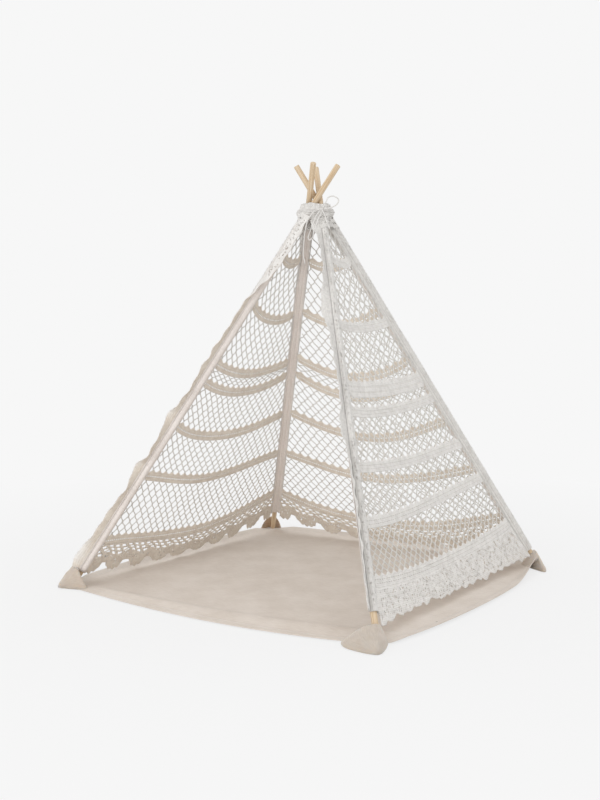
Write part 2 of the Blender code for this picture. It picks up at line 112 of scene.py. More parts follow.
class Cloth:
    # Gathers thin closed walls, laid on grids of points, into one mesh
    def __init__(self):
        self.points, self.faces, self.uvs, self.looks = [], [], [], []
        self.count = 0

    def lay(self, grid, half, uv, mask=None, wrap=False, outward=None, look=0):
        rows, cols = grid.shape[:2]
        down = np.gradient(grid, axis=0)
        if wrap:
            along = (np.roll(grid, -1, axis=1) - np.roll(grid, 1, axis=1)) / 2
        else:
            along = np.gradient(grid, axis=1)
        normal = np.cross(along, down)
        normal /= np.maximum(np.linalg.norm(normal, axis=2, keepdims=True), 1e-12)
        flip = outward is not None and float((normal * outward).sum()) < 0.0
        if flip:
            normal = -normal
        half = np.broadcast_to(np.asarray(half, float), (rows, cols))[..., None]
        count = rows * cols
        front = (grid + normal * half).reshape(-1, 3)
        back = (grid - normal * half).reshape(-1, 3)
        across = cols if wrap else cols - 1
        i, j = np.meshgrid(np.arange(rows - 1), np.arange(across), indexing="ij")
        k = (j + 1) % cols
        corner = np.stack([i * cols + j, i * cols + k, (i + 1) * cols + k, (i + 1) * cols + j], -1)
        held = np.ones((rows - 1, across), bool) if mask is None else mask
        near = np.pad(held, 1)
        if wrap:
            near[1:-1, 0] = held[:, -1]
            near[1:-1, -1] = held[:, 0]
        walls = []
        for stepDown, stepAlong, a, b in ((-1, 0, 0, 1), (0, 1, 1, 2), (1, 0, 2, 3), (0, -1, 3, 0)):
            beside = near[1 + stepDown:rows + stepDown, 1 + stepAlong:across + 1 + stepAlong]
            rim = corner[held & ~beside]
            walls.append(np.stack([rim[:, b], rim[:, a], rim[:, a] + count, rim[:, b] + count], -1))
        quads = corner[held]
        faces = np.concatenate([quads, quads[:, ::-1] + count, *walls])
        if flip:
            faces = faces[:, ::-1]
        used, flat = np.unique(faces, return_inverse=True)
        faces = flat.reshape(faces.shape) + self.count
        points = np.concatenate([front, back])[used]
        places = np.concatenate([uv.reshape(-1, 2)] * 2)[used]
        self.points.append(points)
        self.uvs.append(places)
        self.faces.append(faces)
        self.looks.append(np.full(len(faces), look))
        self.count += len(points)

    def mesh(self, name, materials):
        points = np.concatenate(self.points)
        faces = np.concatenate(self.faces)
        uvs = np.concatenate(self.uvs)
        mesh = bpy.data.meshes.new(name)
        mesh.vertices.add(len(points))
        mesh.vertices.foreach_set("co", points.ravel())
        mesh.loops.add(faces.size)
        mesh.loops.foreach_set("vertex_index", faces.ravel())
        mesh.polygons.add(len(faces))
        mesh.polygons.foreach_set("loop_start", np.arange(0, faces.size, 4))
        mesh.polygons.foreach_set("loop_total", np.full(len(faces), 4))
        layer = mesh.uv_layers.new(name="cloth")
        layer.data.foreach_set("uv", uvs[faces.ravel()].ravel())
        for look in materials:
            mesh.materials.append(look)
        mesh.polygons.foreach_set("material_index", np.concatenate(self.looks))
        mesh.update()
        mesh.validate()
        mesh.shade_smooth()
        return mesh


def joined(name, meshes):
    # One mesh out of several, with their UV layers and looks kept
    body = bmesh.new()
    looks = []
    for mesh in meshes:
        shift = []
        for look in mesh.materials:
            if look not in looks:
                looks.append(look)
            shift.append(looks.index(look))
        first = len(body.faces)
        if not mesh.uv_layers:
            mesh.uv_layers.new(name="cloth")
        body.from_mesh(mesh)
        body.faces.ensure_lookup_table()
        for face in body.faces[first:]:
            face.material_index = shift[face.material_index] if shift else 0
    made = bpy.data.meshes.new(name)
    body.to_mesh(made)
    body.free()
    for look in looks:
        made.materials.append(look)
    return made


def ripple(point, size, seed):
    # Smooth noise from -1 to 1 that varies over this size in metres
    return noise.noise(Vector(point) / size + Vector((seed * 7.31, seed * 3.17, seed * 5.77)))


def bell(value, middle, width):
    return math.exp(-((value - middle) / width) ** 2)


def ramp(value, start, length):
    # From 0 at the start to 1 at the end of this length
    return min(1.0, max(0.0, (value - start) / length))


def ease(share):
    return share * share * (3 - 2 * share)


def paired(first, second):
    # Two sets of values that span a grid, as one grid of pairs
    return np.stack(np.broadcast_arrays(first, second), axis=-1)


def smoothRoute(points, spacing):
    # Evenly spaced points on a smooth curve through the route's own points
    points = [Vector(p) for p in points]
    ends = [points[0] * 2 - points[1]] + points + [points[-1] * 2 - points[-2]]
    fine = []
    steps = 24
    for i in range(1, len(ends) - 2):
        a, b, c, d = ends[i - 1:i + 3]
        for k in range(steps):
            t = k / steps
            fine.append(0.5 * (2 * b + (c - a) * t + (2 * a - 5 * b + 4 * c - d) * t ** 2
                               + (3 * b - a - 3 * c + d) * t ** 3))
    fine.append(points[-1])
    lengths = [0.0]
    for p, q in zip(fine, fine[1:]):
        lengths.append(lengths[-1] + (q - p).length)
    count = max(2, round(lengths[-1] / spacing))
    result = []
    at = 0
    for k in range(count + 1):
        want = lengths[-1] * k / count
        while at < len(fine) - 2 and lengths[at + 1] < want:
            at += 1
        share = (want - lengths[at]) / (lengths[at + 1] - lengths[at])
        result.append(fine[at].lerp(fine[at + 1], share))
    return result, lengths[-1]


def tubeAlong(name, route, ringRadius, sides, look):
    # A tube with its own section: ringRadius(distance, angle) in metres; blunt tips, outward faces
    mapGirth, tipShare = 0.014, 0.6
    points, faces, uvs = [], [], []
    normal = None
    distance = 0.0
    last = len(route) - 1
    for i, place in enumerate(route):
        way = (route[min(i + 1, last)] - route[max(i - 1, 0)]).normalized()
        if normal is None:
            normal = way.orthogonal().normalized()
        normal = (normal - way * normal.dot(way)).normalized()
        side = way.cross(normal)
        if i:
            distance += (place - route[i - 1]).length
        for j in range(sides):
            angle = 2.0 * math.pi * j / sides
            radius = ringRadius(distance, angle)
            points.append(place + (normal * math.cos(angle) + side * math.sin(angle)) * radius)
            uvs.append((distance, j / sides * mapGirth))
    for i in range(last):
        for j in range(sides):
            k = (j + 1) % sides
            faces.append((i * sides + j, i * sides + k, (i + 1) * sides + k, (i + 1) * sides + j))
    for ring, way, along in ((0, route[0] - route[1], 0.0), (last, route[-1] - route[-2], distance)):
        tip = len(points)
        points.append(route[ring] + way.normalized() * ringRadius(along, 0.0) * tipShare)
        uvs.append((0.0, 0.0))
        for j in range(sides):
            pair = (ring * sides + j, ring * sides + (j + 1) % sides)
            faces.append((tip, *(pair if ring else pair[::-1])))
    mesh = bpy.data.meshes.new(name)
    mesh.from_pydata([tuple(p) for p in points], [], faces)
    layer = mesh.uv_layers.new(name="cloth")
    for loop in mesh.loops:
        layer.data[loop.index].uv = uvs[loop.vertex_index]
    mesh.materials.append(look)
    mesh.update()
    mesh.shade_smooth()
    return mesh


# Materials

def linear(colour):
    channels = []
    for k in (0, 2, 4):
        value = int(colour[k:k + 2], 16) / 255
        channels.append(value / 12.92 if value <= 0.04045 else ((value + 0.055) / 1.055) ** 2.4)
    return (*channels, 1.0)


def link(tree, source, target):
    # From a socket, or from the first output of a node
    tree.links.new(source.outputs[0] if isinstance(source, bpy.types.Node) else source, target)


def add(tree, kind, settings=None, links=None):
    # A node with its own settings, values of its sockets, and links into them
    node = tree.nodes.new(kind)
    for key, value in (settings or {}).items():
        if isinstance(key, int) or key in node.inputs:
            node.inputs[key].default_value = value
        else:
            setattr(node, key, value)
    for key, source in (links or {}).items():
        link(tree, source, node.inputs[key])
    return node


def newMaterial(name, look):
    made = bpy.data.materials.new(name)
    made.use_nodes = True
    shader = made.node_tree.nodes["Principled BSDF"]
    for socket, key in (("Roughness", "roughness"), ("Metallic", "metallic"),
                        ("Sheen Weight", "sheen"), ("Coat Weight", "coat")):
        shader.inputs[socket].default_value = look.get(key, 0.0)
    return made, made.node_tree, shader


def finishMaterial(tree, shader, colour, height, look):
    bump = add(tree, "ShaderNodeBump", {"Strength": look["bump"], "Distance": look["depth"]},
               {"Height": height})
    link(tree, colour, shader.inputs["Base Color"])
    link(tree, bump, shader.inputs["Normal"])


def mixColours(tree, low, high, factor):
    return add(tree, "ShaderNodeMix", {"data_type": "RGBA", 6: linear(low), 7: linear(high)},
               {0: factor}).outputs[2]


def ridges(tree, place, pitch):
    # Rounded ridges side by side, this far apart, from 0 in the grooves to 1
    turn = add(tree, "ShaderNodeMath", {"operation": "MULTIPLY", 1: math.pi / pitch}, {0: place})
    wave = add(tree, "ShaderNodeMath", {"operation": "SINE"}, {0: turn})
    return add(tree, "ShaderNodeMath", {"operation": "ABSOLUTE"}, {0: wave})


def canvasMaterial(name, look):
    # Plain woven unbleached cotton: matt, with a fine thread grid, slubs and a few seed flecks
    made, tree, shader = newMaterial(name, look)
    place = add(tree, "ShaderNodeTexCoord").outputs["UV"]
    split = add(tree, "ShaderNodeSeparateXYZ", {}, {0: place})
    warp, weft = (ridges(tree, split.outputs[axis], look["thread"]) for axis in ("X", "Y"))
    weave = add(tree, "ShaderNodeMath", {"operation": "MAXIMUM"}, {0: warp, 1: weft})
    stretched = add(tree, "ShaderNodeMapping", {"Scale": (1.0, look["stretch"], 1.0)},
                    {"Vector": place})
    slub = add(tree, "ShaderNodeTexNoise", {"Scale": 1 / look["slub"], "Detail": 3.0},
               {"Vector": stretched})
    mottle = add(tree, "ShaderNodeTexNoise", {"Scale": 1 / look["mottle"], "Detail": 4.0},
                 {"Vector": place})
    both = add(tree, "ShaderNodeMath", {"operation": "ADD"}, {0: slub, 1: mottle})
    spread = add(tree, "ShaderNodeMapRange", {"From Min": 0.75, "From Max": 1.25}, {"Value": both})
    cloth = mixColours(tree, look["dark"], look["light"], spread)
    speck = add(tree, "ShaderNodeTexVoronoi", {"Scale": 1 / look["fleckSpacing"]}, {"Vector": place})
    inner, outer = look["fleckEdge"]
    fleck = add(tree, "ShaderNodeMapRange",
                {"From Min": inner, "From Max": outer, "To Min": 1.0, "To Max": 0.0},
                {"Value": speck.outputs["Distance"]})
    colour = add(tree, "ShaderNodeMix", {"data_type": "RGBA", 7: linear(look["fleck"])},
                 {0: fleck, 6: cloth}).outputs[2]
    height = add(tree, "ShaderNodeMath", {"operation": "MULTIPLY_ADD", 1: 0.6}, {0: slub, 2: weave})
    finishMaterial(tree, shader, colour, height, look)
    shader.inputs["Subsurface Weight"].default_value = look["through"]
    shader.inputs["Subsurface Radius"].default_value = (1.0, 0.8, 0.6)
    shader.inputs["Subsurface Scale"].default_value = look["throughDepth"]
    return made


def crochetMaterial(name, look, onMap):
    # Soft spun cotton yarn, crocheted: matt and slightly fuzzy, with rows of slanting stitches
    made, tree, shader = newMaterial(name, look)
    coord = add(tree, "ShaderNodeTexCoord")
    place = coord.outputs["Object"]
    shade = add(tree, "ShaderNodeTexNoise", {"Scale": 1 / look["mottle"], "Detail": 4.0},
                {"Vector": place})
    height = add(tree, "ShaderNodeTexNoise", {"Scale": 1 / look["fuzz"], "Detail": 2.0},
                 {"Vector": place})
    if onMap:
        split = add(tree, "ShaderNodeSeparateXYZ", {}, {0: coord.outputs["UV"]})
        along, across = (
            add(tree, "ShaderNodeMath", {"operation": "MULTIPLY", 1: 1 / look[pitch]},
                {0: split.outputs[axis]})
            for axis, pitch in (("X", "stitchWide"), ("Y", "stitchTall")))
        slope = add(tree, "ShaderNodeMath", {"operation": "PINGPONG", 1: 1.0}, {0: across})
        slant = add(tree, "ShaderNodeMath", {"operation": "MULTIPLY_ADD", 1: 0.8},
                    {0: slope, 2: along})
        stitch = add(tree, "ShaderNodeMath", {"operation": "MULTIPLY"},
                     {0: ridges(tree, slant, 1.0), 1: ridges(tree, across, 1.0)})
        height = add(tree, "ShaderNodeMath", {"operation": "MULTIPLY_ADD", 1: 3.0},
                     {0: stitch, 2: height})
        # The stitches' grooves are painted darker than their tops: painted shade in the grooves, on top
        # of the yarn's own mottle
        shade = add(tree, "ShaderNodeMath", {"operation": "MULTIPLY_ADD", 1: 0.35},
                    {0: stitch, 2: shade})
    spread = add(tree, "ShaderNodeMapRange", {"From Min": 0.35, "From Max": 0.85}, {"Value": shade})
    colour = mixColours(tree, look["dark"], look["light"], spread)
    if "bounceLitDark" in look:
        # Faces that look into the tent get a warmer tan than the pale outer faces of the same cotton:
        # painted warm bounce light from the mat, and painted light that makes up for the shade inside
        # the tent
        inner = mixColours(tree, look["bounceLitDark"], look["bounceLitLight"], spread)
        level = add(tree, "ShaderNodeVectorMath", {"operation": "MULTIPLY", 1: (1.0, 1.0, 0.0)},
                    {0: place})
        away = add(tree, "ShaderNodeVectorMath", {"operation": "NORMALIZE"}, {0: level})
        facing = add(tree, "ShaderNodeVectorMath", {"operation": "DOT_PRODUCT"},
                     {0: away, 1: coord.outputs["Normal"]})
        outer = add(tree, "ShaderNodeMapRange", {"From Min": -0.35, "From Max": 0.45},
                    {"Value": facing.outputs["Value"]})
        colour = add(tree, "ShaderNodeMix", {"data_type": "RGBA"},
                     {0: outer, 6: inner, 7: colour}).outputs[2]
    finishMaterial(tree, shader, colour, height, look)
    return made


def pineMaterial(name, look):
    # Pine dowel, turned and clear coated: pale early wood, darker late wood lines along the pole
    made, tree, shader = newMaterial(name, look)
    place = add(tree, "ShaderNodeAttribute", {"attribute_name": "grain"}).outputs["Vector"]
    stretched = add(tree, "ShaderNodeMapping", {"Scale": (1.0, 1.0, look["stretch"])},
                    {"Vector": place})
    rings = add(tree, "ShaderNodeTexNoise",
                {"Scale": 1 / look["ring"], "Detail": 3.0, "Distortion": 0.4}, {"Vector": stretched})
    pores, blotch = (
        add(tree, "ShaderNodeTexNoise", {"Scale": 1 / look[pitch], "Detail": 2.0}, {"Vector": source})
        for pitch, source in (("pore", stretched), ("blotch", place)))
    lines = add(tree, "ShaderNodeMapRange", {"From Min": 0.38, "From Max": 0.66}, {"Value": rings})
    mixed = add(tree, "ShaderNodeMath", {"operation": "MULTIPLY_ADD", 1: 0.5}, {0: blotch, 2: lines})
    share = add(tree, "ShaderNodeMath", {"operation": "MULTIPLY", 1: 0.7}, {0: mixed})
    finishMaterial(tree, shader, mixColours(tree, look["light"], look["dark"], share), pores, look)
    shader.inputs["Coat Roughness"].default_value = look["coatRoughness"]
    return made


def steelMaterial(name, look):
    # Drawn steel tube, zinc plated: dull shine with faint lines along it
    made, tree, shader = newMaterial(name, look)
    place = add(tree, "ShaderNodeTexCoord").outputs["Object"]
    stretched = add(tree, "ShaderNodeMapping", {"Scale": (1.0, 1.0, look["stretch"])},
                    {"Vector": place})
    lines = add(tree, "ShaderNodeTexNoise", {"Scale": 1 / look["line"], "Detail": 2.0},
                {"Vector": stretched})
    finishMaterial(tree, shader, mixColours(tree, look["dark"], look["light"], lines), lines, look)
    return made


canvasLook = {
    "dark": "cbbfb3", "light": "dad0c6", "fleck": "7d6a55",
    "thread": 0.0012,            # drawn twice as coarse as the real 0.6 mm, so that it shows
    "slub": 0.030, "stretch": 9.0, "mottle": 0.120, "fleckSpacing": 0.150,
    "fleckEdge": (0.018, 0.028), "roughness": 0.92, "sheen": 0.15, "bump": 0.35, "depth": 0.0004,
    "through": 0.0,              # share of the light that goes into the cloth, and how deep
    "throughDepth": 0.006,
}
# Paler than the mat's canvas, though it is the same cloth: painted light that makes up for the shade
# inside the tent
sleeveLook = dict(canvasLook, dark="e2dad4", light="f0e9e4")
# Darker and browner than the mat's canvas, though it is the same cloth: painted shade of the pockets'
# shadowed insides
pocketLook = dict(canvasLook, through=0.9, dark="b5a99d", light="c4b9ae")
borderLook = {
    "dark": "d7d4cf", "light": "eeebe7", "mottle": 0.009, "fuzz": 0.0012, "stitchWide": 0.0036,
    "stitchTall": 0.0063, "roughness": 0.95, "sheen": 0.2, "bump": 0.6, "depth": 0.0012,
}
# The colours for the faces that look into the tent are painted warm bounce light from the mat
laceLook = dict(borderLook, dark="d8d4cf", light="f2efeb", bounceLitDark="dfd2c4", bounceLitLight="f2eade",
                mottle=0.02, bump=0.5)
strandLook = dict(borderLook, dark="d0cdc8", light="e3e0db", bump=0.4)
cordLook = dict(borderLook, dark="d2cfcb", light="e6e3e0", bump=0.3)
pineLook = {
    "light": "dfcdb2", "dark": "bc9f7a", "ring": 0.0035, "stretch": 0.03, "pore": 0.0012,
    "blotch": 0.120, "roughness": 0.55, "coat": 0.15, "coatRoughness": 0.35,
    "bump": 0.25, "depth": 0.0003,
}
steelLook = {
    "dark": "a9abad", "light": "c3c5c6", "line": 0.0004, "stretch": 0.05, "roughness": 0.38,
    "metallic": 1.0, "bump": 0.1, "depth": 0.0001,
}
looks = {
    "canvas": canvasMaterial("Cotton canvas, plain woven, unbleached", canvasLook),
    "sleeve": canvasMaterial("Cotton canvas strip, plain woven", sleeveLook),
    "pocket": canvasMaterial("Cotton canvas, doubled and sewn", pocketLook),
    "stitches": crochetMaterial("Cotton yarn, crocheted solid", laceLook, True),
    "strands": crochetMaterial("Cotton yarn, crocheted chain", strandLook, False),
    "border": crochetMaterial("Cotton yarn, crocheted border", borderLook, True),
    "cord": crochetMaterial("Cotton cord, twisted", cordLook, False),
    "pine": pineMaterial("Pine dowel, turned and clear coated", pineLook),
    "steel": steelMaterial("Steel tube, drawn and zinc plated", steelLook),
}
print("materials ready")


# Camera

cameraView = {
    "place": (2.1425, -3.3251, 0.9442),
    "azimuth": math.radians(33.535),
    "elevation": math.radians(4.547),
    "lens": 50.43,
    "sensor": 36.0,
}


def addCamera(view):
    data = bpy.data.cameras.new("camera")
    data.lens = view["lens"]
    data.sensor_width = view["sensor"]
    item = newObject("camera", data)
    item.location = view["place"]
    item.rotation_euler = (math.pi / 2 - view["elevation"], 0.0, view["azimuth"])
    bpy.context.scene.camera = item


addCamera(cameraView)


# Cords of the bow: the same routes as in the part's own source

bowSizes = {
    "radius": 0.00225,
    "plies": 3,
    "plyDepth": 0.16,            # how deep the grooves between the plies are, as a share
    "lay": 0.015,                # length of one full twist
    "spacing": 0.0014,
    "sides": 15,
    "knotMiddle": (0.0599, -0.0488, 1.2902),
    "knotRadius": 0.0083,
}
bowRoutes = {
    "bow_loop_right": [
        (0.0758, -0.0458, 1.3160), (0.0814, -0.0420, 1.3295), (0.0952, -0.0317, 1.3359),
        (0.1103, -0.0204, 1.3241), (0.1057, -0.0259, 1.3070), (0.0883, -0.0399, 1.2950),
    ],
    "bow_loop_left": [
        (0.0551, -0.0603, 1.2803), (0.0500, -0.0690, 1.2670), (0.0438, -0.0730, 1.2474),
        (0.0338, -0.0790, 1.2169), (0.0273, -0.0835, 1.1948), (0.0349, -0.0815, 1.1862),
        (0.0425, -0.0775, 1.1963), (0.0490, -0.0735, 1.2234), (0.0590, -0.0690, 1.2574),
        (0.0619, -0.0578, 1.2724),
    ],
    "bow_end_long": [
        (0.0454, -0.0651, 1.2876), (0.0370, -0.0755, 1.2740), (0.0260, -0.0850, 1.2520),
        (0.0165, -0.0870, 1.2104), (0.0122, -0.0875, 1.1695), (0.0108, -0.0880, 1.1354),
        (0.0165, -0.0862, 1.1064),
    ],
    "bow_end_short": [
        (0.0723, -0.0512, 1.2747), (0.0830, -0.0506, 1.2471), (0.0926, -0.0490, 1.2231),
    ],
}


def plyRadius(distance, angle):
    turn = angle - 2.0 * math.pi * distance / bowSizes["lay"]
    lobe = abs(math.cos(bowSizes["plies"] / 2 * turn))
    return bowSizes["radius"] * (1.0 - bowSizes["plyDepth"] * (1.0 - lobe))


def makeBow():
    knot = Vector(bowSizes["knotMiddle"])
    for name, points in bowRoutes.items():
        route = [Vector(p) for p in points]
        route.insert(0, knot + (route[0] - knot).normalized() * bowSizes["knotRadius"])
        if "loop" in name:
            route.append(knot + (route[-1] - knot).normalized() * bowSizes["knotRadius"])
        line, length = smoothRoute(route, bowSizes["spacing"])
        mesh = tubeAlong(name, line, plyRadius, bowSizes["sides"], looks["cord"])
        item = newObject(name + "_cord", mesh)
        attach(item, "crossing")
        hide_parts(name)


makeBow()
print("bow ready")


# Geometry Nodes trees

def newTree(name, sockets):
    tree = bpy.data.node_groups.new(name, "GeometryNodeTree")
    tree.interface.new_socket("Geometry", in_out="INPUT", socket_type="NodeSocketGeometry")
    for label, kind in sockets:
        tree.interface.new_socket(label, in_out="INPUT", socket_type="NodeSocket" + kind)
    tree.interface.new_socket("Geometry", in_out="OUTPUT", socket_type="NodeSocketGeometry")
    return tree, tree.nodes.new("NodeGroupInput").outputs


def endTree(tree, geometry, look):
    solid = add(tree, "GeometryNodeRealizeInstances", {}, {"Geometry": geometry})
    smooth = add(tree, "GeometryNodeSetShadeSmooth", {}, {"Geometry": solid})
    painted = add(tree, "GeometryNodeSetMaterial", {}, {"Geometry": smooth, "Material": look})
    add(tree, "NodeGroupOutput", {}, {"Geometry": painted})
    return tree


def grown(name, mesh, tree, values):
    # Runs a tree on a mesh and gives the plain mesh that it makes
    item = newObject(name, mesh)
    modifier = item.modifiers.new(name, "NODES")
    modifier.node_group = tree
    for socket in tree.interface.items_tree:
        if socket.in_out == "INPUT" and socket.name in values:
            modifier[socket.identifier] = values[socket.name]
    graph = bpy.context.evaluated_depsgraph_get()
    made = bpy.data.meshes.new_from_object(item.evaluated_get(graph))
    item.modifiers.clear()
    bpy.data.objects.remove(item, do_unlink=True)
    return made


def strandTree():
    # Crochet chains along loose edges, and a small knot on each point marked as a knot
    tree, given = newTree("crochetStrands", [
        ("Strand radius", "Float"), ("Stitch swell", "Float"), ("Stitch length", "Float"),
        ("Sides", "Int"), ("Knot radius", "Float"), ("Seed", "Int"), ("Material", "Material"),
    ])
    marked = add(tree, "GeometryNodeInputNamedAttribute", {"data_type": "BOOLEAN", "Name": "knot"})
    parts = add(tree, "GeometryNodeSeparateGeometry", {"domain": "POINT"},
                {"Geometry": given["Geometry"], "Selection": marked.outputs["Attribute"]})
    lines = add(tree, "GeometryNodeMeshToCurve", {}, {"Mesh": parts.outputs["Inverted"]})
    beads = add(tree, "GeometryNodeResampleCurve", {"mode": "LENGTH"},
                {"Curve": lines, "Length": given["Stitch length"]})
    odd = add(tree, "ShaderNodeMath", {"operation": "MODULO", 1: 2.0},
              {0: add(tree, "GeometryNodeInputIndex")})
    swollen = add(tree, "ShaderNodeMath", {"operation": "MULTIPLY_ADD"},
                  {0: odd, 1: given["Stitch swell"], 2: given["Strand radius"]})
    ring = add(tree, "GeometryNodeCurvePrimitiveCircle", {"Radius": 1.0},
               {"Resolution": given["Sides"]})
    chains = add(tree, "GeometryNodeCurveToMesh", {"Fill Caps": True},
                 {"Curve": beads, "Profile Curve": ring, "Scale": swollen})
    ball = add(tree, "GeometryNodeMeshIcoSphere", {"Subdivisions": 2},
               {"Radius": given["Knot radius"]})
    size = add(tree, "FunctionNodeRandomValue", {"data_type": "FLOAT", "Min": 0.8, "Max": 1.15},
               {"Seed": given["Seed"]})
    knots = add(tree, "GeometryNodeInstanceOnPoints", {},
                {"Points": parts.outputs["Selection"], "Instance": ball, "Scale": size.outputs[1]})
    both = add(tree, "GeometryNodeJoinGeometry", {}, {0: knots})
    link(tree, chains, both.inputs[0])
    return endTree(tree, both, given["Material"])


def stitchTree():
    # Running stitches: short straight threads along a line, with gaps between them
    tree, given = newTree("seamStitches", [
        ("Pitch", "Float"), ("Thread radius", "Float"), ("Stitch share", "Float"),
        ("Material", "Material"),
    ])
    lines = add(tree, "GeometryNodeMeshToCurve", {}, {"Mesh": given["Geometry"]})
    beads = add(tree, "GeometryNodeCurveToPoints", {"mode": "LENGTH"},
                {"Curve": lines, "Length": given["Pitch"]})
    long = add(tree, "ShaderNodeMath", {"operation": "MULTIPLY"},
               {0: given["Pitch"], 1: given["Stitch share"]})
    thread = add(tree, "GeometryNodeMeshCylinder", {"Vertices": 6, "Side Segments": 2},
                 {"Radius": given["Thread radius"], "Depth": long})
    laid = add(tree, "GeometryNodeInstanceOnPoints", {},
               {"Points": beads.outputs["Points"], "Instance": thread,
                "Rotation": beads.outputs["Rotation"]})
    return endTree(tree, laid, given["Material"])


strandMaker = strandTree()
stitchMaker = stitchTree()


def edgeMesh(name, lines, knots=()):
    # Loose edges along lines of points, and loose points for the knots
    points, edges = [], []
    for line in lines:
        edges.extend((len(points) + k, len(points) + k + 1) for k in range(len(line) - 1))
        points.extend(line)
    marks = [False] * len(points) + [True] * len(knots)
    points.extend(knots)
    mesh = bpy.data.meshes.new(name)
    mesh.from_pydata([tuple(p) for p in points], edges, [])
    layer = mesh.attributes.new("knot", "BOOLEAN", "POINT")
    layer.data.foreach_set("value", marks)
    return mesh


seamSizes = {"Pitch": 0.0045, "Thread radius": 0.0004, "Stitch share": 0.62}


def sewnSeams(lines):
    return grown("seam", edgeMesh("seam", lines), stitchMaker,
                 dict(seamSizes, Material=looks["cord"]))


# Poles

poleSizes = {
    "radius": 0.010, "aboveCrossing": 0.128, "rounding": 0.0022, "sides": 32,
    "jointFromFoot": 0.800, "ferruleHalf": 0.030, "gap": 0.0003, "ferruleWall": 0.0007,
}


def turnedPiece(pole, name, profile, look):
    # A piece turned about the pole's own line from (radius, height over the pivot) points
    sides = poleSizes["sides"]
    shift = sum(map(ord, pole.name)) % 17 / 3.0
    points, grain, faces = [], [], []
    rings = []
    for radius, height in profile:
        start = len(points)
        count = sides if radius > 0.0 else 1
        for j in range(count):
            angle = 2.0 * math.pi * j / sides
            points.append(pole.around(-height, angle, radius))
            grain.append((radius * math.cos(angle) + shift, radius * math.sin(angle), height))
        rings.append((start, count))
    for (a, countA), (b, countB) in zip(rings, rings[1:]):
        for j in range(sides):
            k = (j + 1) % sides
            ring = [a + j % countA, a + k % countA, b + k % countB, b + j % countB]
            faces.append(tuple(dict.fromkeys(ring)))
    body = bmesh.new()
    held = [body.verts.new(p) for p in points]
    for face in faces:
        body.faces.new([held[i] for i in face])
    bmesh.ops.recalc_face_normals(body, faces=body.faces)
    if body.calc_volume(signed=True) < 0.0:
        bmesh.ops.reverse_faces(body, faces=body.faces)
    mesh = bpy.data.meshes.new(name)
    body.to_mesh(mesh)
    body.free()
    layer = mesh.attributes.new("grain", "FLOAT_VECTOR", "POINT")
    layer.data.foreach_set("vector", np.array(grain, float).ravel())
    mesh.materials.append(look)
    mesh.shade_smooth()
    mesh.set_sharp_from_angle(angle=math.radians(40))
    return mesh


def roundedEnd(radius, height, rounding, sign):
    corner = []
    for k in range(5):
        turn = math.pi / 2 * k / 4
        corner.append((radius - rounding * (1 - math.cos(turn)),
                       height - sign * rounding * (1 - math.sin(turn))))
    return corner


def makePoles():
    size = poleSizes
    radius = size["radius"]
    for pole in poles.values():
        joint = size["jointFromFoot"] - pole.length
        shoulder = size["ferruleHalf"] + size["gap"]
        spigot = radius - size["ferruleWall"] - size["gap"]
        upper = [(0.0, size["aboveCrossing"])]
        upper += roundedEnd(radius, size["aboveCrossing"], size["rounding"], 1)[::-1]
        upper += [(radius, joint + shoulder), (spigot, joint + shoulder),
                  (spigot, joint + size["gap"] / 2), (0.0, joint + size["gap"] / 2)]
        lower = [(0.0, joint - size["gap"] / 2), (spigot, joint - size["gap"] / 2),
                 (spigot, joint - shoulder), (radius, joint - shoulder)]
        lower += roundedEnd(radius, -pole.length, size["rounding"], -1) + [(0.0, -pole.length)]
        for part, profile in (("upper", upper), ("lower", lower)):
            mesh = turnedPiece(pole, f"dowel_{part}_{pole.name}", profile, looks["pine"])
            item = newObject(mesh.name, mesh)
            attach(item, pole.body)
            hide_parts(f"pole_{part}_{pole.name}")
        ferrule = frame["nodes"][f"ferrule_{pole.name}"]
        ferrule.data.materials.clear()
        ferrule.data.materials.append(looks["steel"])


makePoles()
print("poles ready")


# Sleeves: a canvas strip inside each corner, sewn to the nets on both sides of the pole

sleeveSizes = {
    "top": 0.046,                # down from the pivot
    "footBare": {"front_left": 0.056, "front_right": 0.088, "back_right": 0.075,
                 "back_left": 0.103},
    "tightRadius": 0.0117,       # middle of the cloth, under the collar
    "looseRadius": 0.0124,
    "loosens": (0.10, 0.05),     # how far down it starts to be loose, and over what length
    "half": 0.00045,             # half the cloth's thickness
    "step": 0.010,
    "sides": 28,
    "mapRadius": 0.012,
    "wrinkle": 0.0006,
    "flangeTop": 0.125,
    "flangeStart": 0.0105,       # from the pole's middle line
    "flangeEnd": 0.0245,         # how far from the pole's middle line the strip is sewn down
    "flangeColumns": 6,
    "flangeInset": 0.0026,       # how far inside the net it lies
    "flangeWave": 0.0005,
    "stitchInset": 0.0030,
    "stitchLift": 0.0003,
}


def acrossPanel(pole, neighbour):
    # The way in the panel, square to the pole, towards its neighbour
    level = frameSizes["panelLevel"]
    way = neighbour.at(level) - pole.at(level)
    return (way - pole.way * way.dot(pole.way)).normalized()


def flangeWays(pole):
    ways = []
    for ends in panelEnds.values():
        if pole.name in ends:
            other = ends[1 - ends.index(pole.name)]
            ways.append(acrossPanel(pole, poles[other]))
    if len(ways) == 1:
        ways.append(-ways[0])
    return ways


